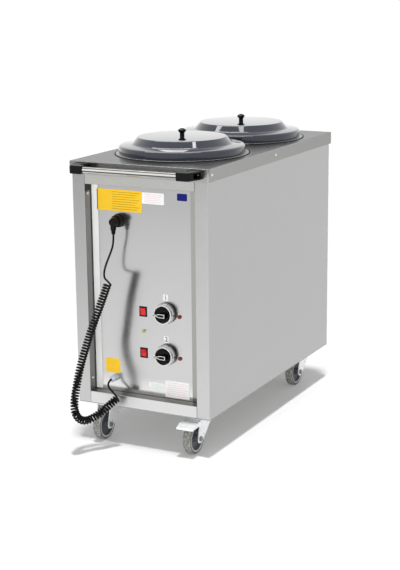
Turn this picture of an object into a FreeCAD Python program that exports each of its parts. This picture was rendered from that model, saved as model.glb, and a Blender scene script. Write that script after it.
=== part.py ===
import FreeCAD, Part
import Sketcher
import math
import os
import re

from FreeCAD import Rotation, Vector

doc = FreeCAD.newDocument("plate_dispenser")
sheet = doc.addObject("Spreadsheet::Sheet", "sizes")

# Driving dimensions in millimetres, degrees where the name says angle
sizes = {
    # Cabinet of folded stainless sheet
    "side_room": 22, "front_room": 74.5, "rear_room": 18.5, "sheet_wall": 1.5,
    "floor_gap": 125, "base_thick": 3, "post_width": 44, "panel_recess": 38, "panel_gap": 1.5,
    "bend_round": 2, "rear_flange": 20, "top_rail_height": 69, "bottom_rail_height": 36,
    "rail_gap": 0.8, "ledge_gap": 3, "tray_flange": 30, "tray_rise": 25, "overrun": 5,
    # Worktop
    "top_height": 900, "top_overhang": 6, "apron_height": 40, "top_wall": 1.5,
    "corner_round": 4, "edge_round": 2,
    # Screws of the cabinet
    "screw_head": 4.5, "screw_head_top": 3, "screw_head_thick": 2.4, "screw_shank": 2,
    "screw_fit": 0.1, "apron_screw_inset": 22.5, "apron_screw_drop": 19,
    "tray_screw_setback": 16.5, "tray_screw_inset": 31, "tray_screw_foot": 76,
    "rear_screw_inset": 70,
    # Push handle, its insets taken from the cabinet's sides
    "handle_projection": 46, "handle_tube": 9.5, "grip_inset": 72, "handle_drop": 18,
    "socket_depth": 20, "socket_fit": 0.05, "bracket_round": 13, "bracket_height": 26,
    "outer_inset": 14, "inner_inset": 62, "elbow_inset": 30, "bracket_base": 10,
    "bracket_soft": 4, "bracket_neck": 22, "pocket_height": 16, "pocket_width": 26,
    "pocket_inset": 40, "handle_screw_head": 6, "handle_screw_thick": 3.5,
    "handle_screw_shank": 3,
    # Wells that hold the plates
    "well_radius": 165, "well_wall": 1.2, "flange_width": 47, "well_gap": 12,
    "flange_thick": 2, "well_rise": 57, "well_hole_fit": 1,
    "slot_rise": 7, "slot_fit": 1, "stop_fit": 0.3,
    "lug_thick": 3, "lug_drop": 12, "lug_width": 14,
    # Plate carriers and their springs
    "carrier_drop": 45, "carrier_fit": 5, "carrier_thick": 2, "carrier_leg": 5,
    "leg_inset": 45, "carrier_leg_length": 200, "arm_width": 12, "arm_thick": 8,
    "arm_overhang": 28, "spring_offset": 19, "spring_outer": 8, "spring_inner": 6,
    # Heaters under the wells
    "heater_inset": 60, "heater_rod": 4.25, "heater_rise": 27, "heater_leg": 3,
    # Lids and their knobs
    "lid_show": 10, "lid_wall": 2, "lid_rim": 25, "lid_shelf": 47, "lid_waist_rise": 28,
    "lid_lean": 11, "lid_height": 51, "lid_rim_round": 8, "lid_waist_round": 12,
    "lid_crown_round": 5, "lid_stud": 3, "lid_stud_fit": 0.1, "lid_stud_length": 6,
    "lid_knob_radius": 14, "lid_knob_neck": 7.5, "lid_knob_height": 25,
    "lid_knob_neck_height": 9, "lid_knob_edge": 12, "lid_knob_round": 3,
    "lid_knob_dome": 9,
    # Controls on the front panel
    "control_rise": 141.8, "control_pitch": 133, "knob_side": 68.9, "switch_side": -13.5,
    "switch_drop": 4, "pilot_side": 114.4, "pilot_drop": 8, "stud_side": -13.2,
    "stud_drop": 0.5, "dial_radius": 36.5, "dial_bore": 27, "dial_depth": 29,
    "dial_lip": 4, "dial_round": 2.5, "knob_radius": 25, "knob_lift": 19, "knob_thick": 11,
    "knob_round": 2, "grip_ahead": 24.5, "grip_behind": 16, "grip_width": 13, "grip_rise": 14,
    "grip_nose": 14, "grip_soft": 2.5, "shaft_radius": 3, "shaft_fit": 0.05, "shaft_length": 30,
    "shaft_hole_fit": 1, "thermostat_radius": 23, "thermostat_depth": 28,
    "switch_width": 25, "switch_tall": 32, "switch_bezel": 2.5, "switch_lip": 1.7,
    "switch_fit": 0.2, "switch_depth": 20, "switch_soft": 1, "rocker_width": 18.4,
    "rocker_tall": 24, "rocker_side_fit": 0.3, "rocker_end_fit": 1.6, "rocker_horn": 4.2,
    "rocker_dip": 2.6, "rocker_back": 3, "rocker_angle": 8, "rocker_pin": 1.5,
    "rocker_pin_fit": 0.05, "rocker_pin_reach": 0.8, "rocker_sink": 1, "rocker_well": 9,
    "pilot_radius": 5.4, "pilot_flange": 6.5, "pilot_flange_thick": 1.5, "pilot_rise": 5,
    "pilot_round": 2.5, "pilot_body": 4.4, "pilot_body_fit": 0.1, "pilot_depth": 22,
    "earth_pin": 3, "earth_reach": 12, "earth_nut": 5.8, "earth_nut_thick": 3.5,
    "earth_washer": 6.5, "earth_washer_thick": 1.2, "earth_fit": 0.1, "earth_back": 8,
    # Cable gland and parked plug
    "gland_side": -117, "gland_rise": 45, "gland_hex": 10.5, "gland_hex_thick": 8,
    "gland_neck": 8, "gland_neck_length": 4, "gland_cap": 9.5, "gland_cap_length": 13,
    "gland_nose": 6, "gland_nose_length": 6, "gland_thread": 7, "gland_thread_fit": 0.2,
    "gland_nut": 10.5, "gland_nut_thick": 5, "gland_back": 12, "gland_round": 1.5,
    "plug_side": -89, "plug_drop": 111.5, "holder_radius": 21.5, "holder_depth": 12,
    "holder_round": 2, "plug_face": 19, "plug_face_thick": 16, "plug_back": 15,
    "plug_back_thick": 22, "plug_soft": 3, "plug_boss": 9, "plug_boss_length": 23,
    "plug_boss_reach": 42, "relief_length": 14, "relief_root": 6.5, "relief_tip": 4.4,
    "plug_pin": 2.4, "plug_pin_length": 10, "plug_pin_spacing": 19, "plug_pin_fit": 0.2,
    # Curly mains cord
    "wire_width": 6.3, "coil_width": 26.5, "coil_pitch": 9.1, "cord_fit": 0.1,
    "cord_entry": 6, "cord_run_in": 12,
    # Casters
    "wheel_inset": 72.4, "front_kingpin": 66.5, "rear_kingpin": 98, "caster_trail": 36,
    "wheel_radius": 50, "wheel_width": 28, "tyre_shoulder": 4, "tyre_crown": 9.5,
    "tyre_inner": 38, "tyre_round": 3, "hub_rim": 33, "hub_rim_half": 12.5,
    "hub_web": 7, "hub_nave": 12, "hub_half": 20.5, "axle_radius": 5, "axle_fit": 0.05,
    "axle_head": 8.5, "axle_head_thick": 5, "fork_inner": 21.5, "fork_wall": 3,
    "fork_front": 32, "fork_back": 46, "fork_cheek": 13, "fork_soft": 9, "fork_shoulder": 6,
    "fork_nose": 4,
    "plate_length": 104, "plate_wide": 84, "plate_thick": 3, "plate_round": 6,
    "race_radius": 24, "race_top": 21, "race_thick": 10, "kingpin_radius": 6,
    "kingpin_fit": 0.05, "kingpin_head": 11, "kingpin_head_thick": 4, "swivel_gap": 0.3,
    "bolt_pitch_long": 80, "bolt_pitch_wide": 60, "bolt_shank": 4, "bolt_fit": 0.1,
    "bolt_head": 7.5, "bolt_head_thick": 5,
    # Brake pedals of two casters
    "pedal_half": 28.5, "pedal_wall": 2.5, "pedal_rear": 36, "pedal_bend": 76,
    "pedal_front": 94, "pedal_lip": 5, "pedal_top": 112, "pedal_fall": 5,
    "pedal_slope": 13, "pedal_pivot": 26, "pedal_pivot_height": 103, "pedal_pin": 3,
    "pedal_pin_fit": 0.05, "pedal_gap": 0.7, "pedal_cheek": 14, "pedal_tail": 18,
    "pedal_round": 1,
}

# Places worked out from those sizes
places = {
    "well_flange": "well_radius + flange_width",
    "well_spacing": "2 * well_flange + well_gap",
    "half_width": "well_flange + side_room",
    "cabinet_width": "2 * half_width",
    "cabinet_depth": "front_room + 2 * well_flange + well_spacing + rear_room",
    "frame_shift": "(handle_projection + bracket_round) / 2",
    "front_y": "frame_shift - cabinet_depth / 2",
    "rear_y": "frame_shift + cabinet_depth / 2",
    "panel_y": "front_y + panel_recess",
    "apron_y": "front_y - top_overhang",
    "handle_y": "apron_y - handle_projection",
    "handle_z": "top_height - handle_drop",
    "under_top": "top_height - top_wall",
    "wall_foot": "floor_gap + base_thick",
    "wall_height": "under_top - wall_foot",
    "recess_half": "half_width - post_width",
    "top_rail_z": "under_top - top_rail_height",
    "ledge_z": "wall_foot + bottom_rail_height",
    "front_well_y": "front_y + front_room + well_flange",
    "rear_well_y": "front_well_y + well_spacing",
    "ring_top": "top_height + flange_thick",
    "well_foot": "wall_foot + well_rise",
    "slot_foot": "well_foot + slot_rise",
    "carrier_radius": "well_radius - carrier_fit",
    "leg_circle": "well_radius - leg_inset",
    "arm_reach": "well_radius + arm_overhang",
    "spring_circle": "well_radius + spring_offset",
    "heater_circle": "well_radius - heater_inset",
    "lid_radius": "well_flange - lid_show",
    "lid_waist": "lid_radius - lid_shelf",
    "lid_crown": "lid_waist - lid_lean",
    "carrier_top": "top_height - carrier_drop",
    "arm_top": "carrier_top - carrier_thick - carrier_leg_length",
    "lug_foot": "under_top - lug_drop - lug_thick",
    "grip_end": "half_width - grip_inset",
    "bracket_outer": "half_width - outer_inset",
    "bracket_inner": "half_width - inner_inset",
    "bracket_elbow": "half_width - elbow_inset",
    "pocket_side": "half_width - pocket_inset",
    "control_lower": "ledge_z + control_rise",
    "control_upper": "control_lower + control_pitch",
    "stud_height": "(control_upper + control_lower) / 2 - stud_drop",
    "gland_height": "ledge_z + gland_rise",
    "plug_height": "top_rail_z - plug_drop",
    "knob_back": "panel_y - knob_lift",
    "wheel_side": "half_width - wheel_inset",
    "fork_top": "floor_gap - plate_thick - race_thick - swivel_gap",
}

for row, (alias, number) in enumerate(sizes.items(), start=1):
    sheet.set(f"A{row}", alias)
    sheet.set(f"B{row}", str(number))
    sheet.setAlias(f"B{row}", alias)
doc.recompute()

word = re.compile(r"[a-z][a-z_]*")
nodes = []


def formula(text):
    def swap(match):
        name = match.group()
        if name in sizes:
            return "sizes." + name
        if name in places:
            return "(" + formula(places[name]) + ")"
        return name
    return word.sub(swap, str(text))


def size(name):
    return float(sheet.get(name))


def bind(thing, **formulas):
    for name, text in formulas.items():
        thing.setExpression(name, formula(text))


def put(thing, x, y, z):
    for axis, text in zip("xyz", (x, y, z)):
        thing.setExpression("Placement.Base." + axis, formula(text))
    return thing


def node(label, thing):
    thing.Label = label
    nodes.append(thing)
    return thing


# Rotations that lay a piece's own Z axis along an axis of the part
facing = {
    "up": Rotation(),
    "right": Rotation(Vector(0, 1, 0), 90),
    "left": Rotation(Vector(0, 1, 0), -90),
    "back": Rotation(Vector(1, 0, 0), -90),
    "front": Rotation(Vector(1, 0, 0), 90),
    "down": Rotation(Vector(1, 0, 0), 180),
}


def box(name, x, y, z, dx, dy, dz):
    thing = doc.addObject("Part::Box", name)
    bind(thing, Length=dx, Width=dy, Height=dz)
    return put(thing, x, y, z)


def rod(name, x, y, z, radius, length, way="up"):
    thing = doc.addObject("Part::Cylinder", name)
    bind(thing, Radius=radius, Height=length)
    thing.Placement = FreeCAD.Placement(Vector(), facing[way])
    return put(thing, x, y, z)


def cone(name, x, y, z, radius, tip_radius, length, way="up"):
    thing = doc.addObject("Part::Cone", name)
    bind(thing, Radius1=radius, Radius2=tip_radius, Height=length)
    thing.Placement = FreeCAD.Placement(Vector(), facing[way])
    return put(thing, x, y, z)


def hexagon(name, x, y, z, radius, length, way="up"):
    thing = doc.addObject("Part::Prism", name)
    thing.Polygon = 6
    bind(thing, Circumradius=radius, Height=length)
    thing.Placement = FreeCAD.Placement(Vector(), facing[way])
    return put(thing, x, y, z)


def bar(name, x, y, z, start, dx, dy, dz, angle):
    # A box that runs outwards from an upright axis at the given angle
    thing = doc.addObject("Part::Box", name)
    bind(thing, Length=dx, Width=dy, Height=dz)
    thing.Placement = FreeCAD.Placement(Vector(), Rotation(Vector(0, 0, 1), angle))
    across = f"({dy}) / 2"
    corner_x = f"{x} + ({start}) * cos({angle}) + {across} * sin({angle})"
    corner_y = f"{y} + ({start}) * sin({angle}) - {across} * cos({angle})"
    return put(thing, corner_x, corner_y, z)


def group(name, *pieces):
    thing = doc.addObject("Part::Compound", name)
    thing.Links = list(pieces)
    return thing


def fuse(name, *pieces):
    thing = doc.addObject("Part::MultiFuse", name)
    thing.Shapes = list(pieces)
    thing.Refine = True
    return thing


def cut(name, base, *tools):
    thing = doc.addObject("Part::Cut", name)
    thing.Base = base
    thing.Tool = tools[0] if len(tools) == 1 else group(name + "_tools", *tools)
    return thing


def outline(body, plane, points):
    # A closed polygon whose corners are held by formulas
    sketch = body.newObject("Sketcher::SketchObject", body.Name + "_outline")
    origin = next(f for f in body.Origin.OriginFeatures if f.Role == plane + "_Plane")
    sketch.AttachmentSupport = [(origin, "")]
    sketch.MapMode = "FlatFace"
    count = len(points)
    ring = [Vector(math.cos(2 * math.pi * i / count), math.sin(2 * math.pi * i / count), 0)
            for i in range(count)]
    for i in range(count):
        sketch.addGeometry(Part.LineSegment(ring[i], ring[(i + 1) % count]), False)
    for i in range(count):
        sketch.addConstraint(Sketcher.Constraint("Coincident", i, 2, (i + 1) % count, 1))
    for i, (across, up) in enumerate(points):
        for kind, text, start in (("DistanceX", across, ring[i].x), ("DistanceY", up, ring[i].y)):
            index = sketch.addConstraint(Sketcher.Constraint(kind, -1, 1, i, 1, start))
            sketch.setExpression(f"Constraints[{index}]", formula(text))
    doc.recompute()
    return sketch


def soften(body, radius, test):
    # Rounds the edges of the body's last feature that pass the test
    last = body.Tip
    edges = [f"Edge{i}" for i, edge in enumerate(last.Shape.Edges, start=1) if test(edge)]
    fillet = body.newObject("PartDesign::Fillet", body.Name + "_round")
    fillet.Base = (last, edges)
    bind(fillet, Radius=radius)
    doc.recompute()
    body.Tip = fillet


near = 1e-4


def padded(name, plane, points, length, x="0", y="0", z="0", rounds=()):
    # An outline pushed straight along its plane's normal, with some of its corners rounded
    body = doc.addObject("PartDesign::Body", name)
    sketch = outline(body, plane, points)
    pad = body.newObject("PartDesign::Pad", name + "_pad")
    pad.Profile = sketch
    bind(pad, Length=length)
    sketch.Visibility = False
    doc.recompute()
    for radius, corners in rounds:
        spots = [sketch.getPoint(i, 1) for i in corners]

        def at_corner(edge):
            ends = [sketch.Placement.inverse().multVec(v.Point) for v in edge.Vertexes]
            if len(ends) != 2:
                return False
            return any(all(math.hypot(e.x - s.x, e.y - s.y) < near for e in ends) for s in spots)
        soften(body, radius, at_corner)
    return put(body, x, y, z)


def turned(name, points, x="0", y="0", z="0", way="up", rounds=()):
    # A profile of radius and height, turned about its own upright axis
    body = doc.addObject("PartDesign::Body", name)
    sketch = outline(body, "XZ", points)
    revolve = body.newObject("PartDesign::Revolution", name + "_turn")
    revolve.Profile = sketch
    revolve.ReferenceAxis = (sketch, ["V_Axis"])
    revolve.Angle = 360
    doc.recompute()
    for radius, corners in rounds:
        spots = [sketch.getPoint(i, 1) for i in corners]

        def on_circle(edge):
            if not isinstance(edge.Curve, Part.Circle):
                return False
            ring = edge.Curve
            return any(abs(ring.Radius - s.x) < near and abs(ring.Center.z - s.y) < near
                       for s in spots)
        soften(body, radius, on_circle)
    body.Placement = FreeCAD.Placement(Vector(), facing[way])
    return put(body, x, y, z)


def screw(name, x, y, z, way, length):
    # A round headed screw whose head sits on the face at the given place
    against = {"right": "left", "left": "right", "back": "front", "front": "back"}[way]
    head = cone(name + "_head", x, y, z, "screw_head", "screw_head_top", "screw_head_thick", way)
    shank = rod(name + "_shank", x, y, z, "screw_shank", length, against)
    return fuse(name, head, shank)


sides = {"left": "-1", "right": "1"}
wells = {"front": "front_well_y", "rear": "rear_well_y"}
arm_angles = (90, 210, 330)

# Places of the screws: height and depth on the aprons, tray walls and rear flanges
apron_screw_ys = ("front_y + apron_screw_inset - top_overhang", "frame_shift")
tray_screw_zs = ("top_rail_z - tray_screw_inset", "wall_foot + tray_screw_foot")
rear_screw_zs = tuple(
    f"wall_foot + rear_screw_inset + {i} * (wall_height / 2 - rear_screw_inset)" for i in range(3))
apron_screw_z = "top_height - apron_screw_drop"
tray_screw_y = "front_y + tray_screw_setback"
rear_screw_x = "(half_width - rear_flange / 2)"

# Worktop, a shallow tray turned upside down with two round holes
top_half = "(half_width + top_overhang)"
top_body = padded(
    "worktop_tray", "XY",
    [(f"-{top_half}", "apron_y"), (top_half, "apron_y"),
     (top_half, "rear_y + top_overhang"), (f"-{top_half}", "rear_y + top_overhang")],
    "apron_height", z="top_height - apron_height", rounds=[("corner_round", (0, 1, 2, 3))])
soften(top_body, "edge_round",
       lambda edge: all(abs(v.Z - size("apron_height")) < near for v in edge.Vertexes))
top_tools = [box("worktop_hollow", f"top_wall - {top_half}", "apron_y + top_wall",
                 "top_height - apron_height - overrun", f"2 * {top_half} - 2 * top_wall",
                 "cabinet_depth + 2 * top_overhang - 2 * top_wall",
                 "apron_height - top_wall + overrun")]
for place, well_y in wells.items():
    top_tools.append(rod(f"worktop_hole_{place}", "0", well_y, "top_height - apron_height",
                         "well_radius + well_wall + well_hole_fit", "apron_height + overrun"))
for i, screw_y in enumerate(apron_screw_ys):
    top_tools.append(rod(f"worktop_screw_hole_{i}", f"-{top_half} - overrun", screw_y,
                         apron_screw_z, "screw_shank + screw_fit",
                         f"2 * {top_half} + 2 * overrun", "right"))
handle_screw_x = "(pocket_side + pocket_width / 2)"
for side, sign in sides.items():
    top_tools.append(rod(f"worktop_handle_hole_{side}", f"{sign} * {handle_screw_x}",
                         "apron_y - overrun", "handle_z", "handle_screw_shank + screw_fit",
                         "top_wall + 2 * overrun", "back"))
node("worktop", cut("worktop_cut", top_body, fuse("worktop_tools", *top_tools)))

# Side panels, each folded round the front corner into a post and round the rear corner
for side, sign in sides.items():
    def spot(x, y):
        return (f"{sign} * ({x})", y)
    wall = padded(
        f"{side}_side_fold", "XY",
        [spot("half_width", "rear_y"), spot("half_width", "front_y"),
         spot("recess_half", "front_y"), spot("recess_half", "panel_y - panel_gap"),
         spot("recess_half + sheet_wall", "panel_y - panel_gap"),
         spot("recess_half + sheet_wall", "front_y + sheet_wall"),
         spot("half_width - sheet_wall", "front_y + sheet_wall"),
         spot("half_width - sheet_wall", "rear_y - sheet_wall"),
         spot("half_width - rear_flange", "rear_y - sheet_wall"),
         spot("half_width - rear_flange", "rear_y")],
        "wall_height", z="wall_foot", rounds=[("bend_round", (0, 1)), ("bend_round / 2", (2,))])
    holes = []
    for i, screw_y in enumerate(apron_screw_ys):
        holes.append(rod(f"{side}_side_apron_hole_{i}",
                         f"{sign} * half_width - post_width / 2", screw_y, apron_screw_z,
                         "screw_shank + screw_fit", "post_width", "right"))
    for i, screw_z in enumerate(tray_screw_zs):
        holes.append(rod(f"{side}_side_tray_hole_{i}",
                         f"{sign} * recess_half - post_width / 2", tray_screw_y, screw_z,
                         "screw_shank + screw_fit", "post_width", "right"))
    for i, screw_z in enumerate(rear_screw_zs):
        holes.append(rod(f"{side}_side_rear_hole_{i}", f"{sign} * {rear_screw_x}",
                         "rear_y - rear_flange", screw_z, "screw_shank + screw_fit",
                         "2 * rear_flange", "back"))
    node(f"{side}_side_panel", cut(f"{side}_side_cut", wall, *holes))

# Rear panel behind the rear flanges
rear_sheet = box("rear_sheet", "sheet_wall - half_width", "rear_y - 2 * sheet_wall", "wall_foot",
                 "cabinet_width - 2 * sheet_wall", "sheet_wall", "wall_height")
rear_holes = [rod(f"rear_hole_{side}_{i}", f"{sign} * {rear_screw_x}", "rear_y - rear_flange",
                  screw_z, "screw_shank + screw_fit", "2 * rear_flange", "back")
              for side, sign in sides.items() for i, screw_z in enumerate(rear_screw_zs)]
node("rear_panel", cut("rear_cut", rear_sheet, *rear_holes))

# Front rails between the two posts
for label, foot, fold, back in (
        ("front_top_rail", "under_top", "top_rail_z", "panel_y"),
        ("front_bottom_rail", "wall_foot", "ledge_z", "panel_y - ledge_gap")):
    inner = "+" if label == "front_top_rail" else "-"
    node(label, padded(
        label + "_fold", "YZ",
        [("front_y", foot), ("front_y", fold), (back, fold),
         (back, f"{fold} {inner} sheet_wall"),
         ("front_y + sheet_wall", f"{fold} {inner} sheet_wall"),
         ("front_y + sheet_wall", foot)],
        "2 * recess_half - 2 * rail_gap", x="rail_gap - recess_half",
        rounds=[("bend_round", (1,))]))

# Places of the controls on the panel: side and height
control_zs = {"upper": "control_upper", "lower": "control_lower"}


def switch_z(row):
    return f"({control_zs[row]} - switch_drop)"


def pilot_z(row):
    return f"({control_zs[row]} - pilot_drop)"


# Control panel, a shallow tray whose side walls are screwed inside the posts
tray_x = "(recess_half + sheet_wall)"
tray_out = "(recess_half + 2 * sheet_wall)"
tray_front = "panel_y - tray_flange"
tray = padded(
    "panel_tray", "XY",
    [(f"-{tray_out}", "panel_y + sheet_wall"), (tray_out, "panel_y + sheet_wall"),
     (tray_out, tray_front), (tray_x, tray_front), (tray_x, "panel_y"),
     (f"-{tray_x}", "panel_y"), (f"-{tray_x}", tray_front), (f"-{tray_out}", tray_front)],
    "top_rail_z + tray_rise - wall_foot", z="wall_foot")
hole_y = "panel_y - overrun"
hole_deep = "sheet_wall + 2 * overrun"
hole_half = "(switch_width / 2 - switch_lip + switch_fit)"
hole_half_tall = "(switch_tall / 2 - switch_lip + switch_fit)"
tray_tools = []
for row, control_z in control_zs.items():
    tray_tools.append(box(f"switch_hole_{row}", f"switch_side - {hole_half}", hole_y,
                          f"{switch_z(row)} - {hole_half_tall}", f"2 * {hole_half}", hole_deep,
                          f"2 * {hole_half_tall}"))
    tray_tools.append(rod(f"shaft_hole_{row}", "knob_side", hole_y, control_z,
                          "shaft_radius + shaft_hole_fit", hole_deep, "back"))
    tray_tools.append(rod(f"pilot_hole_{row}", "pilot_side", hole_y, pilot_z(row),
                          "pilot_body + pilot_body_fit", hole_deep, "back"))
tray_tools.append(rod("earth_hole", "stud_side", hole_y, "stud_height",
                      "earth_pin + earth_fit", hole_deep, "back"))
tray_tools.append(rod("gland_hole", "gland_side", hole_y, "gland_height",
                      "gland_thread + gland_thread_fit", hole_deep, "back"))
for i, screw_z in enumerate(tray_screw_zs):
    tray_tools.append(rod(f"tray_screw_hole_{i}", f"-{tray_out} - overrun", tray_screw_y,
                          screw_z, "screw_shank + screw_fit", f"2 * {tray_out} + 2 * overrun",
                          "right"))
node("control_panel", cut("panel_cut", tray, *tray_tools))

# Screws of the aprons, of the tray walls and of the rear flanges
screws = []
for side, sign in sides.items():
    inwards = "left" if side == "left" else "right"
    outwards = "right" if side == "left" else "left"
    for i, screw_y in enumerate(apron_screw_ys):
        screws.append(screw(f"apron_screw_{side}_{i}", f"{sign} * {top_half}", screw_y,
                            apron_screw_z, inwards, "top_overhang + sheet_wall"))
    for i, screw_z in enumerate(tray_screw_zs):
        screws.append(screw(f"tray_screw_{side}_{i}", f"{sign} * recess_half", tray_screw_y,
                            screw_z, outwards, "3 * sheet_wall"))
    for i, screw_z in enumerate(rear_screw_zs):
        screws.append(screw(f"rear_screw_{side}_{i}", f"{sign} * {rear_screw_x}", "rear_y",
                            screw_z, "back", "3 * sheet_wall"))
node("cabinet_screws", group("screw_set", *screws))

# Push handle: a tube held at both ends by moulded elbows
node("handle_tube", rod("grip_tube", "-grip_end - socket_depth", "handle_y", "handle_z",
                        "handle_tube", "2 * grip_end + 2 * socket_depth", "right"))
elbow_front = "handle_y - bracket_round"
elbow_inside = "handle_y + bracket_round"
brackets = []
handle_screws = []
for side, sign in sides.items():
    def corner(x, y):
        return (f"{sign} * ({x})", y)
    elbow = padded(
        f"{side}_elbow", "XY",
        [corner("bracket_inner", "apron_y"), corner("bracket_outer", "apron_y"),
         corner("bracket_outer", "apron_y - bracket_base"),
         corner("bracket_elbow", elbow_front), corner("grip_end", elbow_front),
         corner("grip_end", elbow_inside), corner("bracket_elbow - bracket_neck", elbow_inside),
         corner("bracket_elbow - bracket_neck", "apron_y - bracket_base"),
         corner("bracket_inner", "apron_y - bracket_base")],
        "bracket_height", z="handle_z - bracket_height / 2",
        rounds=[("bracket_round", (3,)), ("bracket_soft", (2, 6, 7, 8))])
    flats = (0, size("bracket_height"))
    soften(elbow, "bracket_soft", lambda edge: any(
        all(abs(v.Z - flat) < near for v in edge.Vertexes) for flat in flats)
        and min(v.Y for v in edge.Vertexes) < elbow.Tip.Shape.BoundBox.YMax - near)
    start = f"{sign} * grip_end"
    way = "right" if side == "right" else "left"
    socket = rod(f"{side}_socket", start, "handle_y", "handle_z", "handle_tube + socket_fit",
                 "socket_depth + socket_fit", way)
    pocket_x = "pocket_side" if side == "right" else "-pocket_side - pocket_width - bracket_outer"
    pocket = box(f"{side}_pocket", pocket_x, "handle_y + bracket_round / 2",
                 "handle_z - pocket_height / 2", "pocket_width + bracket_outer",
                 "handle_projection - bracket_base - bracket_round / 2", "pocket_height")
    screw_x = f"{sign} * {handle_screw_x}"
    screw_hole = rod(f"{side}_bracket_hole", screw_x, "apron_y - bracket_base - overrun",
                     "handle_z", "handle_screw_shank + screw_fit",
                     "bracket_base + 2 * overrun", "back")
    brackets.append(cut(f"{side}_bracket", elbow, fuse(f"{side}_bracket_tools", socket, pocket,
                                                       screw_hole)))
    head = cone(f"{side}_handle_head", screw_x, "apron_y - bracket_base", "handle_z",
                "handle_screw_head", "handle_screw_head - screw_head_thick / 2",
                "handle_screw_thick", "front")
    shank = rod(f"{side}_handle_shank", screw_x, "apron_y - bracket_base", "handle_z",
                "handle_screw_shank", "bracket_base + 2 * top_wall", "back")
    handle_screws.append(fuse(f"{side}_handle_screw", head, shank))
node("handle_brackets", group("bracket_pair", *brackets))
node("handle_screws", group("handle_screw_pair", *handle_screws))

# Wells, springs, carriers, heaters, lids and knobs, once for each stack of plates
slot_top = "arm_top + stop_fit"
for place, well_y in wells.items():
    ring = turned(
        f"{place}_well_wall",
        [("well_radius", "ring_top"), ("well_flange", "ring_top"), ("well_flange", "top_height"),
         ("well_radius + well_wall", "top_height"), ("well_radius + well_wall", "well_foot"),
         ("well_radius", "well_foot")], y=well_y, rounds=[("flange_thick / 2", (0, 1))])
    lugs = [bar(f"{place}_lug_{angle}", "0", well_y, "lug_foot", "well_radius + well_wall / 2",
                "arm_reach - well_radius", "lug_width", "lug_thick", angle)
            for angle in arm_angles]
    slots = [bar(f"{place}_slot_{angle}", "0", well_y, "slot_foot", "well_radius - overrun",
                 "well_wall + 2 * overrun", "arm_width + 2 * slot_fit",
                 f"{slot_top} - slot_foot", angle) for angle in arm_angles]
    node(f"{place}_well", cut(f"{place}_well_cut", fuse(f"{place}_well_lugs", ring, *lugs), *slots))

    springs = []
    for angle in arm_angles:
        spring_x = f"spring_circle * cos({angle})"
        spring_y = f"{well_y} + spring_circle * sin({angle})"
        coil = rod(f"{place}_spring_{angle}", spring_x, spring_y, "arm_top", "spring_outer",
                   "lug_foot - arm_top")
        eye = rod(f"{place}_spring_eye_{angle}", spring_x, spring_y, "arm_top", "spring_inner",
                  "lug_foot - arm_top")
        springs.append(cut(f"{place}_spring_tube_{angle}", coil, eye))
    node(f"{place}_springs", group(f"{place}_spring_set", *springs))

    table = rod(f"{place}_table", "0", well_y, "carrier_top - carrier_thick", "carrier_radius",
                "carrier_thick")
    legs = [rod(f"{place}_leg_{angle}", f"leg_circle * cos({angle})",
                f"{well_y} + leg_circle * sin({angle})", "arm_top - arm_thick",
                "carrier_leg", "carrier_leg_length + arm_thick") for angle in arm_angles]
    arms = [bar(f"{place}_arm_{angle}", "0", well_y, "arm_top - arm_thick", "0", "arm_reach",
                "arm_width", "arm_thick", angle) for angle in arm_angles]
    node(f"{place}_plate_carrier", fuse(f"{place}_carrier", table, *legs, *arms))

    element = doc.addObject("Part::Torus", f"{place}_element")
    bind(element, Radius1="heater_circle", Radius2="heater_rod")
    put(element, "0", well_y, "wall_foot + heater_rise")
    feet = [rod(f"{place}_heater_leg_{angle}", f"heater_circle * cos({angle})",
                f"{well_y} + heater_circle * sin({angle})", "wall_foot", "heater_leg",
                "heater_rise") for angle in arm_angles]
    node(f"{place}_heater", fuse(f"{place}_heater_set", element, *feet))

    bore = "lid_stud + lid_stud_fit"
    node(f"{place}_lid", turned(
        f"{place}_lid_shell",
        [("lid_radius", "0"), ("lid_radius", "lid_rim"), ("lid_waist", "lid_waist_rise"),
         ("lid_crown", "lid_height"), (bore, "lid_height"), (bore, "lid_height - lid_wall"),
         ("lid_crown - lid_wall", "lid_height - lid_wall"),
         ("lid_waist - lid_wall", "lid_waist_rise - lid_wall"),
         ("lid_radius - lid_wall", "lid_rim - lid_wall"), ("lid_radius - lid_wall", "0")],
        y=well_y, z="ring_top",
        rounds=[("lid_rim_round", (1,)), ("lid_rim_round - lid_wall", (8,)),
                ("lid_waist_round", (2, 7)), ("lid_crown_round", (3,)),
                ("lid_crown_round - lid_wall", (6,))]))
    node(f"{place}_lid_knob", turned(
        f"{place}_mushroom",
        [("0", "-lid_stud_length"), ("lid_stud", "-lid_stud_length"), ("lid_stud", "0"),
         ("lid_knob_neck", "0"), ("lid_knob_neck", "lid_knob_neck_height"),
         ("lid_knob_radius", "lid_knob_height - lid_knob_edge"),
         ("lid_knob_radius", "lid_knob_height"), ("0", "lid_knob_height")],
        y=well_y, z="ring_top + lid_height",
        rounds=[("lid_knob_dome", (6,)), ("lid_knob_round", (4, 5))]))

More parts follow.
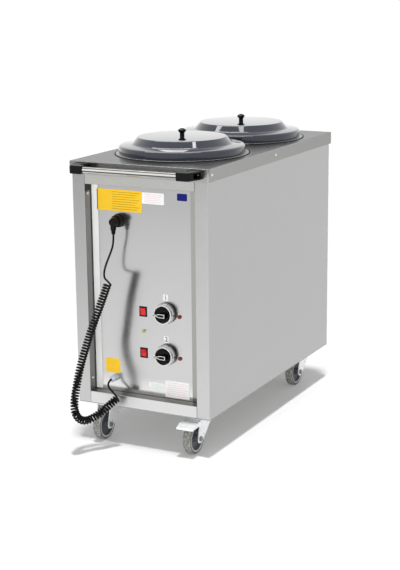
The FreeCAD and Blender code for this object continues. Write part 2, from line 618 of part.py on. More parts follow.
# Thermostats with their dials and knobs, switches and pilot lamps, one row for each well
dials = []
thermostats = []
housings = []
pilots = []
behind = "panel_y + sheet_wall"
for row, control_z in control_zs.items():
    dials.append(turned(
        f"{row}_dial", [("dial_bore", "0"), ("dial_radius", "0"),
                        ("dial_radius", "dial_depth - dial_lip"),
                        ("dial_radius - dial_lip", "dial_depth"),
                        ("dial_bore", "dial_depth")],
        x="knob_side", y="panel_y", z=control_z, way="front",
        rounds=[("dial_round", (2, 3)), ("dial_round / 2", (4,))]))
    case = rod(f"{row}_thermostat_case", "knob_side", behind, control_z, "thermostat_radius",
               "thermostat_depth", "back")
    shaft_bore = rod(f"{row}_thermostat_bore", "knob_side", "panel_y", control_z,
                     "shaft_radius + shaft_fit", "shaft_length", "back")
    thermostats.append(cut(f"{row}_thermostat", case, shaft_bore))

    disc = turned(f"{row}_knob_disc", [("0", "0"), ("knob_radius", "0"),
                                       ("knob_radius", "knob_thick"), ("0", "knob_thick")],
                  x="knob_side", y="knob_back", z=control_z, way="front",
                  rounds=[("knob_round", (2,))])
    grip = padded(f"{row}_knob_grip", "XZ",
                  [("-grip_ahead", "0"), ("grip_nose - grip_ahead", "-grip_width / 2"),
                   ("grip_behind", "-grip_width / 2"), ("grip_behind", "grip_width / 2"),
                   ("grip_nose - grip_ahead", "grip_width / 2")],
                  "knob_thick + grip_rise", x="knob_side", y="knob_back", z=control_z,
                  rounds=[("grip_soft", (1, 2, 3, 4))])
    front = -size("knob_thick") - size("grip_rise")
    soften(grip, "grip_soft / 2",
           lambda edge: all(abs(v.Y - front) < near for v in edge.Vertexes))
    shaft = rod(f"{row}_knob_shaft", "knob_side", "knob_back", control_z, "shaft_radius",
                "knob_lift + shaft_length - shaft_fit", "back")
    node(f"{row}_knob", fuse(f"{row}_knob_set", disc, grip, shaft))

    height = switch_z(row)
    bezel = box(f"{row}_bezel", "switch_side - switch_width / 2", "panel_y - switch_bezel",
                f"{height} - switch_tall / 2", "switch_width", "switch_bezel", "switch_tall")
    case_half = "(switch_width / 2 - switch_lip)"
    case_tall = "(switch_tall / 2 - switch_lip)"
    switch_case = box(f"{row}_switch_case", f"switch_side - {case_half}", "panel_y",
                      f"{height} - {case_tall}", f"2 * {case_half}", "switch_depth",
                      f"2 * {case_tall}")
    mouth_half = "(rocker_width / 2 + rocker_side_fit)"
    mouth_tall = "(rocker_tall / 2 + rocker_end_fit)"
    mouth = box(f"{row}_mouth", f"switch_side - {mouth_half}", "panel_y - switch_bezel - overrun",
                f"{height} - {mouth_tall}", f"2 * {mouth_half}",
                "switch_bezel + overrun + rocker_well", f"2 * {mouth_tall}")
    pin_half = "(rocker_width / 2 + rocker_pin_reach)"
    pin_bore = rod(f"{row}_pin_bore", f"switch_side - {pin_half} - rocker_pin_fit",
                   "panel_y + rocker_sink", height, "rocker_pin + rocker_pin_fit",
                   f"2 * {pin_half} + 2 * rocker_pin_fit", "right")
    housings.append(cut(f"{row}_housing", fuse(f"{row}_switch_body", bezel, switch_case),
                        fuse(f"{row}_switch_room", mouth, pin_bore)))
    paddle = padded(
        f"{row}_paddle", "YZ",
        [("-rocker_horn", "-rocker_tall / 2"), ("rocker_back", "-rocker_tall / 2"),
         ("rocker_back", "rocker_tall / 2"), ("-rocker_horn", "rocker_tall / 2"),
         ("-rocker_dip", "0")], "rocker_width", rounds=[("switch_soft", (0, 3))])
    paddle.Placement = FreeCAD.Placement(Vector(), Rotation(Vector(1, 0, 0), 1))
    paddle.setExpression("Placement.Rotation.Angle", formula("rocker_angle"))
    put(paddle, "switch_side - rocker_width / 2", "panel_y + rocker_sink", height)
    pivot = rod(f"{row}_rocker_pin", f"switch_side - {pin_half}", "panel_y + rocker_sink", height,
                "rocker_pin", f"2 * {pin_half}", "right")
    node(f"{row}_rocker", fuse(f"{row}_rocker_set", paddle, pivot))

    pilots.append(turned(
        f"{row}_pilot", [("0", "-pilot_depth"), ("pilot_body", "-pilot_depth"),
                         ("pilot_body", "0"), ("pilot_flange", "0"),
                         ("pilot_flange", "pilot_flange_thick"),
                         ("pilot_radius", "pilot_flange_thick"),
                         ("pilot_radius", "pilot_flange_thick + pilot_rise"),
                         ("0", "pilot_flange_thick + pilot_rise")],
        x="pilot_side", y="panel_y", z=pilot_z(row), way="front", rounds=[("pilot_round", (6,))]))
node("dial_rings", group("dial_pair", *dials))
node("thermostats", group("thermostat_pair", *thermostats))
node("switch_housings", group("housing_pair", *housings))
node("pilot_lamps", group("pilot_pair", *pilots))

# Terminal stud for the bonding lead
stud = rod("earth_rod", "stud_side", "panel_y + earth_back", "stud_height", "earth_pin",
           "earth_back + earth_reach", "front")
washer = rod("earth_washer_disc", "stud_side", "panel_y", "stud_height", "earth_washer",
             "earth_washer_thick", "front")
nut = hexagon("earth_hex", "stud_side", "panel_y - earth_washer_thick", "stud_height", "earth_nut",
              "earth_nut_thick", "front")
back_nut = hexagon("earth_back_hex", "stud_side", behind, "stud_height", "earth_nut",
                   "earth_nut_thick", "back")
node("earth_stud", fuse("earth_set", stud, washer, nut, back_nut))

# Cable gland: a screwed body with a soft nose, and its lock nut behind the panel
gland_at = ("gland_side", "gland_height")
gland_length = "(gland_hex_thick + gland_neck_length + gland_cap_length + gland_nose_length)"
gland_body = turned(
    "gland_turned",
    [("wire_width / 2 + cord_fit", "-gland_back"), ("gland_thread", "-gland_back"),
     ("gland_thread", "0"), ("gland_neck", "0"),
     ("gland_neck", "gland_hex_thick + gland_neck_length"),
     ("gland_cap", "gland_hex_thick + gland_neck_length"),
     ("gland_cap", "gland_hex_thick + gland_neck_length + gland_cap_length"),
     ("gland_nose", gland_length), ("wire_width / 2 + cord_fit", gland_length)],
    x=gland_at[0], y="panel_y", z=gland_at[1], way="front", rounds=[("gland_round", (6, 7))])
gland_collar = cut("gland_collar",
                   hexagon("gland_hex_body", gland_at[0], "panel_y", gland_at[1], "gland_hex",
                           "gland_hex_thick", "front"),
                   rod("gland_collar_bore", gland_at[0], "panel_y + overrun", gland_at[1],
                       "gland_neck", "gland_hex_thick + 2 * overrun", "front"))
lock_nut = cut("gland_lock_nut",
               hexagon("gland_nut_body", gland_at[0], behind, gland_at[1], "gland_nut",
                       "gland_nut_thick", "back"),
               rod("gland_nut_bore", gland_at[0], "panel_y", gland_at[1], "gland_thread",
                   "gland_nut_thick + 2 * overrun", "back"))
node("cable_gland", fuse("gland_set", gland_body, gland_collar, lock_nut))

# Dummy socket that parks the plug, and the plug in it
holder = turned("holder_cup", [("0", "0"), ("holder_radius", "0"),
                               ("holder_radius", "holder_depth"), ("0", "holder_depth")],
                x="plug_side", y="panel_y", z="plug_height", way="front",
                rounds=[("holder_round", (2,))])
plug_y = "(panel_y - holder_depth)"
pin_xs = ("plug_side - plug_pin_spacing / 2", "plug_side + plug_pin_spacing / 2")
holder_holes = [rod(f"holder_hole_{i}", pin_x, f"{plug_y} - overrun", "plug_height",
                    "plug_pin + plug_pin_fit", "plug_pin_length + overrun + plug_pin_fit", "back")
                for i, pin_x in enumerate(pin_xs)]
node("plug_holder", cut("holder_cut", holder, *holder_holes))
plug_disc = turned(
    "plug_disc", [("0", "0"), ("plug_face", "0"), ("plug_face", "plug_face_thick"),
                  ("plug_back", "plug_face_thick"),
                  ("plug_back - plug_soft", "plug_face_thick + plug_back_thick"),
                  ("0", "plug_face_thick + plug_back_thick")],
    x="plug_side", y=plug_y, z="plug_height", way="front",
    rounds=[("plug_soft / 2", (1,)), ("plug_soft", (2, 4))])
exit_y = "(panel_y - plug_boss_reach)"
boss = rod("plug_boss_body", "plug_side", exit_y, "plug_height", "plug_boss", "plug_boss_length",
           "down")
relief = cone("plug_relief", "plug_side", exit_y, "plug_height - plug_boss_length", "relief_root",
              "relief_tip", "relief_length", "down")
pins = [rod(f"plug_pin_{i}", pin_x, plug_y, "plug_height", "plug_pin", "plug_pin_length", "back")
        for i, pin_x in enumerate(pin_xs)]
exit_z = "plug_height - plug_boss_length - relief_length"
cord_hole = rod("plug_cord_hole", "plug_side", exit_y, exit_z, "wire_width / 2 + cord_fit",
                "cord_entry + cord_fit")
node("plug", cut("plug_cut", fuse("plug_set", plug_disc, boss, relief, *pins), cord_hole))

# Curly cord: each route point is its side, its distance in front of the panel and its height as a
# share of the rise from the gland to the plug, chosen along the photographed line
coil_start_share = 0.79
coil_end_share = 0.62
coil_route = (
    (-85.4, 90, 0.6405), (-106.2, 97.2, 0.5213), (-127.7, 112.3, 0.3912), (-144.8, 126.2, 0.2673),
    (-162.2, 137.3, 0.1388), (-166, 156.6, 0.0246), (-162.8, 179.4, -0.0638),
    (-158.2, 186.5, -0.1345), (-153, 167.7, -0.192), (-142.1, 140.8, -0.2104),
    (-126.4, 115.7, -0.1927), (-107.8, 100.5, -0.1605), (-95.9, 76.1, -0.1293),
    (-80, 60, -0.0963))
tail_route = (
    (-89, 42, 0.893), (-94.5, 40.5, 0.842), (-103.5, 46.5, 0.79), (-111, 54, 0.742),
    (-115.8, 59.5, 0.697), (-113.5, 63.5, 0.6595))
lead_route = (
    (-107, 42.5, -0.0688), (-117, 42.5, -0.053), (-122, 42.5, -0.0363), (-121, 42, -0.0157),
    (-117, 35.5, 0))
doc.recompute()
parked = holder.Placement.Base
entered = gland_body.Placement.Base


def on_route(points):
    rise = parked.z - entered.z
    return [Vector(side, parked.y - ahead, entered.z + share * rise)
            for side, ahead, share in points]


def unit(vector):
    return vector / vector.Length


def smooth_axis(points):
    # A clamped quadratic spline on the route's points
    curve = Part.BSplineCurve()
    spans = len(points) - 2
    curve.buildFromPolesMultsKnots(points, [3] + [1] * (spans - 1) + [3],
                                   [float(i) for i in range(spans + 1)], False, 2)
    return curve


def helix_points(curve, turns, start_share, radius, steps):
    # Points of a helix about a curve, carried along it without twist
    length = curve.length()
    count = round(turns * steps)
    centres = []
    tangents = []
    for i in range(count + 1):
        at = curve.parameterAtDistance(length * i / count)
        centres.append(curve.value(at))
        tangents.append(Vector(*curve.tangent(at)[0]))
    side = Vector(1, 0, 0)
    points = []
    for i, (centre, along) in enumerate(zip(centres, tangents)):
        side = unit(side - along * side.dot(along))
        over = along.cross(side)
        angle = 2 * math.pi * (start_share + turns * i / count)
        points.append(centre + side * (radius * math.cos(angle)) + over * (radius * math.sin(angle)))
    return points


def biarc(start, start_way, end, end_way):
    # Two arcs that leave and arrive along the given directions
    chord = end - start
    both = start_way + end_way
    spread = 2 * (1 - start_way.dot(end_way))
    along = chord.dot(both)
    reach = (math.sqrt(along * along + spread * chord.dot(chord)) - along) / spread
    first_apex = start + start_way * reach
    last_apex = end - end_way * reach
    middle = (first_apex + last_apex) / 2
    return [arc_by_apex(start, first_apex, middle), arc_by_apex(middle, last_apex, end)]


def arc_by_apex(start, apex, end):
    # The arc that touches both legs of an equal-legged corner
    half_turn = (apex - start).getAngle(end - apex) / 2
    weight = math.cos(half_turn)
    middle = (start + apex * (2 * weight) + end) / (2 * (1 + weight))
    return Part.Arc(start, middle, end).toShape()


def line(start, end):
    return Part.LineSegment(start, end).toShape()


def tube(edges, radius):
    path = Part.Wire(edges)
    start = edges[0].Vertexes[0].Point
    way = unit(edges[0].Vertexes[-1].Point - start)
    section = Part.Wire(Part.Circle(start, way, radius).toShape())
    shape = path.makePipeShell([section], True, False)
    share = shape.Volume / (math.pi * radius ** 2 * path.Length)
    print(f"tube length {path.Length:.1f} mm, volume against section times length {share:.5f}")
    return shape


bend_share = 0.45


def rounded_route(name, points):
    # Straight runs joined by tangent arcs, each as large as its shorter run allows
    edges = []
    here = points[0]
    radii = []
    for before, apex, after in zip(points, points[1:], points[2:]):
        cut_back = bend_share * min((apex - before).Length, (after - apex).Length)
        turn = (apex - before).getAngle(after - apex)
        radii.append(round(cut_back / math.tan(turn / 2), 1))
        arc_start = apex - unit(apex - before) * cut_back
        arc_end = apex + unit(after - apex) * cut_back
        edges += [line(here, arc_start), arc_by_apex(arc_start, apex, arc_end)]
        here = arc_end
    edges.append(line(here, points[-1]))
    print(f"{name} bend radii in mm {radii}")
    return edges


def least_gap(points, width, skip):
    # Smallest clear distance between parts of one line that lie more than skip points apart
    gap = min((points[i] - points[j]).Length
              for i in range(len(points)) for j in range(i + skip, len(points)))
    return gap - width


def solid_node(label, shape):
    thing = doc.addObject("Part::Feature", label + "_tube")
    thing.Shape = shape
    return node(label, thing)


wire = size("wire_width")
coil_radius = (size("coil_width") - wire) / 2
axis = smooth_axis(on_route(coil_route))
coil_turns = math.floor(axis.length() / size("coil_pitch")) + coil_end_share
stops_per_turn = 4
fine_steps = 16
fine = helix_points(axis, coil_turns, coil_start_share, coil_radius, fine_steps)
stride = fine_steps // stops_per_turn
stops = list(range(0, len(fine) - stride // 2, stride))
stops[-1] = len(fine) - 1
ways = []
for i in stops:
    before = max(i - 1, 0)
    after = min(i + 1, len(fine) - 1)
    ways.append(unit(fine[after] - fine[before]))
coil_in = fine[0] - ways[0] * wire
coil_out = fine[-1] + ways[-1] * wire
coil_edges = [line(coil_in, fine[0])]
for i, j, start_way, end_way in zip(stops, stops[1:], ways, ways[1:]):
    coil_edges += biarc(fine[i], start_way, fine[j], end_way)
coil_edges.append(line(fine[-1], coil_out))
print(f"coil gap to itself {least_gap(fine, wire, fine_steps // 2):.2f} mm")

plug_exit = parked + Vector(0, -size("plug_boss_reach"), size("cord_entry")
                            - size("plug_boss_length") - size("relief_length"))
nose = entered + Vector(0, size("cord_entry") - size("gland_hex_thick")
                        - size("gland_neck_length") - size("gland_cap_length")
                        - size("gland_nose_length"), 0)
run_in = size("cord_run_in")
tail_points = [plug_exit] + on_route(tail_route) + [coil_in - ways[0] * run_in, coil_in]
lead_points = [coil_out, coil_out + ways[-1] * run_in] + on_route(lead_route) + [nose]
solid_node("cord_coil", tube(coil_edges, wire / 2))
solid_node("cord_tail", tube(rounded_route("tail", tail_points), wire / 2))
solid_node("cord_lead", tube(rounded_route("lead", lead_points), wire / 2))

# Casters: side, place and whether it has a brake pedal
kingpins = {"front": "(front_y + front_kingpin)", "rear": "(rear_y - rear_kingpin)"}
braked_casters = ("front_right", "rear_left")
casters = {f"{place}_{side}": (f"{sign} * wheel_side", king_y, f"{place}_{side}" in braked_casters)
           for place, king_y in kingpins.items() for side, sign in sides.items()}
plates = []
bolts = []
base_holes = []
plate_z = "floor_gap - plate_thick"
race_z = "floor_gap - plate_thick - race_thick"
for caster, (x, y, braked) in casters.items():
    pad = padded(f"{caster}_plate_pad", "XY",
                 [("-plate_wide / 2", "-plate_length / 2"), ("plate_wide / 2", "-plate_length / 2"),
                  ("plate_wide / 2", "plate_length / 2"), ("-plate_wide / 2", "plate_length / 2")],
                 "plate_thick", x=x, y=y, z=plate_z, rounds=[("plate_round", (0, 1, 2, 3))])
    race = cone(f"{caster}_race", x, y, race_z, "race_radius", "race_top", "race_thick")
    pin_length = "race_thick + 2 * swivel_gap + fork_wall + kingpin_head_thick"
    pin = rod(f"{caster}_kingpin", x, y, plate_z, "kingpin_radius", pin_length, "down")
    head = rod(f"{caster}_kingpin_head", x, y, "fork_top - fork_wall - swivel_gap",
               "kingpin_head", "kingpin_head_thick", "down")
    holes = []
    for i, (right, forward) in enumerate(((-1, -1), (1, -1), (1, 1), (-1, 1))):
        bolt_x = f"{x} + {right} * bolt_pitch_wide / 2"
        bolt_y = f"{y} + {forward} * bolt_pitch_long / 2"
        holes.append(rod(f"{caster}_plate_hole_{i}", bolt_x, bolt_y, f"{plate_z} - overrun",
                         "bolt_shank + bolt_fit", "plate_thick + 2 * overrun"))
        base_holes.append(rod(f"{caster}_base_hole_{i}", bolt_x, bolt_y, "floor_gap - overrun",
                              "bolt_shank + bolt_fit", "base_thick + 2 * overrun"))
        bolts.append(fuse(
            f"{caster}_bolt_{i}",
            hexagon(f"{caster}_bolt_head_{i}", bolt_x, bolt_y, plate_z, "bolt_head",
                    "bolt_head_thick", "down"),
            rod(f"{caster}_bolt_shank_{i}", bolt_x, bolt_y, plate_z, "bolt_shank",
                "plate_thick + base_thick")))
    plates.append(cut(f"{caster}_plate", fuse(f"{caster}_plate_set", pad, race, pin, head), *holes))

    crown = box(f"{caster}_fork_crown", f"{x} - fork_inner - fork_wall", f"{y} - fork_front",
                "fork_top - fork_wall", "2 * fork_inner + 2 * fork_wall", "fork_front + fork_back",
                "fork_wall")
    axle_y = f"{y} - caster_trail"
    legs = []
    for side, leg_x in (("inner", f"{x} - fork_inner - fork_wall"), ("outer", f"{x} + fork_inner")):
        legs.append(padded(
            f"{caster}_fork_{side}", "YZ",
            [(f"{y} - fork_front", "fork_top"), (f"{y} + fork_back", "fork_top"),
             (f"{y} + fork_back", "fork_top - 2 * fork_shoulder"),
             (f"{axle_y} + fork_cheek", "wheel_radius - fork_cheek"),
             (f"{axle_y} - fork_cheek", "wheel_radius - fork_cheek"),
             (f"{axle_y} - fork_cheek", "wheel_radius + fork_cheek / 2"),
             (f"{y} - fork_front - fork_nose", "pedal_pivot_height - pedal_pin"),
             (f"{y} - fork_front - fork_nose", "pedal_pivot_height + pedal_pin")],
            "fork_wall", x=leg_x, rounds=[("fork_soft", (3, 4))]))
    pin_hole = rod(f"{caster}_fork_pin_hole", x, y, "fork_top - fork_wall - overrun",
                   "kingpin_radius + kingpin_fit", "fork_wall + 2 * overrun")
    across = f"{x} - fork_inner - fork_wall - overrun"
    across_length = "2 * (fork_inner + fork_wall + overrun)"
    axle_hole = rod(f"{caster}_fork_axle_hole", across, axle_y, "wheel_radius",
                    "axle_radius + axle_fit", across_length, "right")
    fork_holes = [pin_hole, axle_hole]
    pivot_y = f"{y} - pedal_pivot"
    if braked:
        fork_holes.append(rod(f"{caster}_fork_pedal_hole", across, pivot_y, "pedal_pivot_height",
                              "pedal_pin + pedal_pin_fit", across_length, "right"))
    node(f"{caster}_fork", cut(f"{caster}_fork_cut", fuse(f"{caster}_fork_set", crown, *legs),
                               *fork_holes))

    fork_half = "(fork_inner + fork_wall)"
    spindle = rod(f"{caster}_spindle", f"{x} - {fork_half}", axle_y, "wheel_radius", "axle_radius",
                  f"2 * {fork_half}", "right")
    ends = [hexagon(f"{caster}_axle_{way}", f"{x} {sign} {fork_half}", axle_y, "wheel_radius",
                    "axle_head", "axle_head_thick", way)
            for way, sign in (("left", "-"), ("right", "+"))]
    node(f"{caster}_axle", fuse(f"{caster}_axle_set", spindle, *ends))

    bore = "axle_radius + axle_fit"
    node(f"{caster}_hub", turned(
        f"{caster}_hub_turned",
        [(bore, "-hub_half"), ("hub_nave", "-hub_half"), ("hub_nave", "-hub_web"),
         ("hub_rim", "-hub_web"), ("hub_rim", "-hub_rim_half"), ("tyre_inner", "-hub_rim_half"),
         ("tyre_inner", "hub_rim_half"), ("hub_rim", "hub_rim_half"), ("hub_rim", "hub_web"),
         ("hub_nave", "hub_web"), ("hub_nave", "hub_half"), (bore, "hub_half")],
        x=x, y=axle_y, z="wheel_radius", way="right",
        rounds=[("tyre_round / 2", (2, 3, 8, 9)), ("tyre_round / 4", (1, 4, 7, 10))]))
    half_tread = "wheel_width / 2"
    node(f"{caster}_tyre", turned(
        f"{caster}_tyre_turned",
        [("tyre_inner", "-hub_rim_half"), ("wheel_radius - tyre_shoulder", f"-{half_tread}"),
         ("wheel_radius", "-tyre_crown"), ("wheel_radius", "tyre_crown"),
         ("wheel_radius - tyre_shoulder", half_tread), ("tyre_inner", "hub_rim_half")],
        x=x, y=axle_y, z="wheel_radius", way="right",
        rounds=[("tyre_round", (1, 2, 3, 4))]))

    if not braked:
        continue
    tread = padded(
        f"{caster}_pedal_tread", "YZ",
        [(f"{y} - pedal_rear", "pedal_top"), (f"{y} - pedal_bend", "pedal_top - pedal_fall"),
         (f"{y} - pedal_front", "pedal_top - pedal_slope"),
         (f"{y} - pedal_front - pedal_wall", "pedal_top - pedal_slope - pedal_lip"),
         (f"{y} - pedal_front", "pedal_top - pedal_slope - pedal_lip - pedal_wall"),
         (f"{y} - pedal_front + 2 * pedal_wall", "pedal_top - pedal_slope - pedal_wall"),
         (f"{y} - pedal_bend", "pedal_top - pedal_fall - pedal_wall"),
         (f"{y} - pedal_rear", "pedal_top - pedal_wall")],
        "2 * pedal_half", x=f"{x} - pedal_half", rounds=[("pedal_round", (1, 2, 3))])
    cheeks = []
    cheek_in = "(fork_inner + fork_wall + pedal_gap)"
    cheek_wall = f"(pedal_half - {cheek_in})"
    for side, cheek_x in (("inner", f"{x} - pedal_half"), ("outer", f"{x} + {cheek_in}")):
        cheeks.append(padded(
            f"{caster}_pedal_{side}", "YZ",
            [(f"{y} - pedal_tail", "pedal_top - pedal_wall"),
             (f"{y} - pedal_tail", "pedal_top - pedal_cheek"),
             (f"{y} - pedal_front", "pedal_top - pedal_slope - pedal_lip"),
             (f"{y} - pedal_front", "pedal_top - pedal_slope - pedal_wall / 2"),
             (f"{y} - pedal_bend", "pedal_top - pedal_fall - pedal_wall / 2"),
             (f"{y} - pedal_rear", "pedal_top - pedal_wall / 2")],
            cheek_wall, x=cheek_x))
    pedal_pin = rod(f"{caster}_pedal_pin", f"{x} - pedal_half", pivot_y, "pedal_pivot_height",
                    "pedal_pin", "2 * pedal_half", "right")
    node(f"{caster}_brake_pedal", fuse(f"{caster}_pedal_set", tread, *cheeks, pedal_pin))
node("caster_plates", group("plate_set", *plates))
node("caster_bolts", group("bolt_set", *bolts))

# Base plate that carries the walls and the casters
base_sheet = padded(
    "base_sheet", "XY",
    [("-half_width", "front_y"), ("half_width", "front_y"), ("half_width", "rear_y"),
     ("-half_width", "rear_y")], "base_thick", z="floor_gap",
    rounds=[("bend_round", (0, 1, 2, 3))])
node("base_plate", cut("base_cut", base_sheet, *base_holes))

doc.recompute()
for thing in doc.Objects:
    if "Invalid" in thing.State or "Error" in thing.State:
        raise RuntimeError(f"{thing.Label} is {thing.State}")
for thing in nodes:
    if thing.Shape.isNull() or not thing.Shape.isValid():
        raise RuntimeError(f"{thing.Label} has no valid shape")

os.makedirs("parts", exist_ok=True)
for thing in nodes:
    thing.Shape.exportStep(f"parts/{thing.Label}.step")
    print(f"{thing.Label}: {len(thing.Shape.Solids)} solids, {thing.Shape.Volume / 1000:.1f} cm3")
print(f"{len(nodes)} nodes written")
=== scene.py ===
import bpy
import math
from mathutils import Matrix, Vector


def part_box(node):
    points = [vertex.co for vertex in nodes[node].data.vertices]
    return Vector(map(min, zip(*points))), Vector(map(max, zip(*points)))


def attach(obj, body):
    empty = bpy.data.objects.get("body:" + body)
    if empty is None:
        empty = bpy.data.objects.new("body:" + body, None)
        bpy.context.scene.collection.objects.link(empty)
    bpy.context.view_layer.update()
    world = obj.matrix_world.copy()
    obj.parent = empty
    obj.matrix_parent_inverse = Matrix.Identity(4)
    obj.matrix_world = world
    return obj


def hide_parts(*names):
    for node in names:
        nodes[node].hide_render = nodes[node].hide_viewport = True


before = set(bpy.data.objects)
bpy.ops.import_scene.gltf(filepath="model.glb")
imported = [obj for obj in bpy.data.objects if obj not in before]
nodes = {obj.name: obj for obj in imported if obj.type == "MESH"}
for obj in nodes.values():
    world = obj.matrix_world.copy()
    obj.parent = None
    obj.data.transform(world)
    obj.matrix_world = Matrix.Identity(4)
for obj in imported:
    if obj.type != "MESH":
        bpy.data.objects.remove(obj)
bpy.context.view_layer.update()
scene = bpy.context.scene
mm = 0.001
perMetre = 1000  # millimetres in a metre, which turn the size of a pattern into its scale
white = (1, 1, 1, 1)
print("frame loaded with", len(nodes), "nodes")


# Camera at the photograph's angle; its focal length is in pixels of the 400 by 570 frame
cameraSet = {"place": (2.0428, -4.0309, 1.5037), "yaw": 27.148, "pitch": 13.336, "roll": -0.602,
             "focalPixels": 1382.9, "framePixels": 570, "sensor": 36}


def addCamera(spec):
    yaw, pitch, roll = (math.radians(spec[angle]) for angle in ("yaw", "pitch", "roll"))
    ahead = Vector((-math.sin(yaw) * math.cos(pitch), math.cos(yaw) * math.cos(pitch), -math.sin(pitch)))
    right = Vector((math.cos(yaw), math.sin(yaw), 0))
    up = right.cross(ahead)
    tiltedRight = right * math.cos(roll) + up * math.sin(roll)
    tiltedUp = up * math.cos(roll) - right * math.sin(roll)
    turn = Matrix((tiltedRight, tiltedUp, -ahead)).transposed()
    bpy.ops.object.camera_add(location=spec["place"])
    camera = bpy.context.object
    camera.name = "photoCamera"
    camera.rotation_euler = turn.to_euler()
    camera.data.sensor_width = spec["sensor"]
    camera.data.lens = spec["focalPixels"] * spec["sensor"] / spec["framePixels"]
    scene.camera = camera


addCamera(cameraSet)
print("camera placed")


# Small helpers for materials
def colour(hexText):
    # The standard screen curve turns a hex tint into the linear colour that shaders use
    def linear(value):
        return value / 12.92 if value <= 0.04045 else ((value + 0.055) / 1.055) ** 2.4
    return tuple(linear(int(hexText[i:i + 2], 16) / 255) for i in (1, 3, 5)) + (1,)


def addNode(tree, kind, inputs=(), **settings):
    # Inputs go by name or number; a colour mix has its share at 0, its colours at 6 and 7, its result at 2
    made = tree.nodes.new(kind)
    for name, value in settings.items():
        setattr(made, name, value)
    for key, value in dict(inputs).items():
        if isinstance(value, bpy.types.NodeSocket):
            tree.links.new(value, made.inputs[key])
        else:
            made.inputs[key].default_value = value
    return made


def newMaterial(name, constants):
    material = bpy.data.materials.new(name)
    material.use_nodes = True
    tree = material.node_tree
    shader = tree.nodes["Principled BSDF"]
    for key, value in constants.items():
        shader.inputs[key].default_value = value
    return material, tree, shader


# Metal sheet and plate: fine grain along one way smears what it mirrors, and cloudy patches vary it.
# A zone is a tint of painted light or shade and the sides it lies on: axis, place and softness in mm, a
# negative softness for below.
metalSet = {"streakDetail": 3, "streakBreakup": 0.6, "cloudDetail": 2, "sumRange": (0.7, 1.3),
            "scratch": 0.05}


def metalFinish(name, spec):
    material, tree, shader = newMaterial(name, {"Metallic": 1, **spec.get("constants", {})})
    spots = addNode(tree, "ShaderNodeTexCoord").outputs["Object"]
    grainScale = [perMetre / size for size in spec["grain"]]
    grain = addNode(tree, "ShaderNodeMapping", {"Vector": spots, "Scale": grainScale}).outputs[0]
    streaks = addNode(tree, "ShaderNodeTexNoise", {
        "Vector": grain, "Scale": 1, "Detail": metalSet["streakDetail"],
        "Roughness": metalSet["streakBreakup"]}).outputs["Fac"]
    clouds = addNode(tree, "ShaderNodeTexNoise", {
        "Vector": spots, "Scale": perMetre / spec["cloud"], "Detail": metalSet["cloudDetail"]}).outputs["Fac"]
    both = addNode(tree, "ShaderNodeMath", {0: streaks, 1: clouds}, operation="ADD").outputs[0]
    apart = addNode(tree, "ShaderNodeSeparateXYZ", {"Vector": spots})
    tint = colour(spec["tint"])
    for zoneTint, *sides in spec.get("zones", []):
        share = 1
        for axis, edge, soft in sides:
            side = addNode(tree, "ShaderNodeMapRange", {
                "Value": apart.outputs[axis], "From Min": (edge - soft) * mm,
                "From Max": (edge + soft) * mm}).outputs[0]
            share = addNode(tree, "ShaderNodeMath", {0: share, 1: side}, operation="MULTIPLY").outputs[0]
        tint = addNode(tree, "ShaderNodeMix", {0: share, 6: tint, 7: colour(zoneTint)},
                       data_type="RGBA").outputs[2]
    sumLow, sumHigh = metalSet["sumRange"]
    level = addNode(tree, "ShaderNodeMapRange", {
        "Value": both, "From Min": sumLow, "From Max": sumHigh, "To Min": 1 - spec["spread"],
        "To Max": 1 + spec["spread"]}).outputs[0]
    tint = addNode(tree, "ShaderNodeMix", {0: 1, 6: tint, 7: level}, data_type="RGBA",
                   blend_type="MULTIPLY").outputs[2]
    low, high = spec["rough"]
    rough = addNode(tree, "ShaderNodeMapRange", {
        "Value": both, "From Min": sumLow, "From Max": sumHigh, "To Min": low, "To Max": high}).outputs[0]
    scratch = addNode(tree, "ShaderNodeBump", {
        "Height": streaks, "Strength": spec["smear"], "Distance": metalSet["scratch"] * mm}).outputs[0]
    tree.links.new(tint, shader.inputs["Base Color"])
    tree.links.new(rough, shader.inputs["Roughness"])
    tree.links.new(scratch, shader.inputs["Normal"])
    return material


# Stainless sheet, belt ground; grain in mm along X, Y and Z, about four times as coarse as grit so it shows
# Painted light: the right post's front is painted paler low down and darker higher up.
paintedPostLight = [("#CBCBCB", ("Y", -446.5, -0.3)), ("#ADADAD", ("Y", -446.5, -0.3), ("Z", 560, 380))]
# Painted shade on the left post's inner wall: dark all over, darker deep in and darkest under the top rail.
paintedWallShade = [("#878787", ("X", -190.3, 0.1)), ("#3C3C3C", ("X", -190.3, 0.1), ("Y", -418, 2)),
             ("#2C2B2A", ("X", -190.3, 0.1), ("Z", 806, 2))]
sideSteel = metalFinish("groundStainlessSide", {  # even grey with a soft sheen, its post paler low down
    "tint": "#B5B5B5", "spread": 0.035, "grain": (1.6, 140, 1.2), "cloud": 70, "rough": (0.34, 0.44),
    "smear": 0.08, "zones": paintedPostLight})
# Painted light: the left post's front is painted paler low down and darker higher up.
postSteel = metalFinish("groundStainlessPost", {  # upright grain, paler low down, its inner wall in the shade
    "tint": "#C6C6C6", "spread": 0.02, "grain": (1.2, 1.6, 140), "cloud": 160, "rough": (0.26, 0.36),
    "smear": 0.08, "zones": [("#9A9A9A", ("Z", 560, 400))] + paintedWallShade})
railSteel = metalFinish("groundStainlessRail", {  # a smooth grey band
    "tint": "#B6B6B3", "spread": 0.02, "grain": (140, 1.6, 1.2), "cloud": 160, "rough": (0.24, 0.34),
    "smear": 0.08})
# Painted shade: the rail's upper edge under the control panel is painted dark.
lowRailSteel = metalFinish("groundStainlessLowRail", {  # a bright face under a dull upper edge
    "tint": "#DADADA", "spread": 0.02, "grain": (140, 1.6, 1.2), "cloud": 160, "rough": (0.26, 0.36),
    "smear": 0.08, "zones": [("#73726F", ("Z", 163.6, 0.2))]})
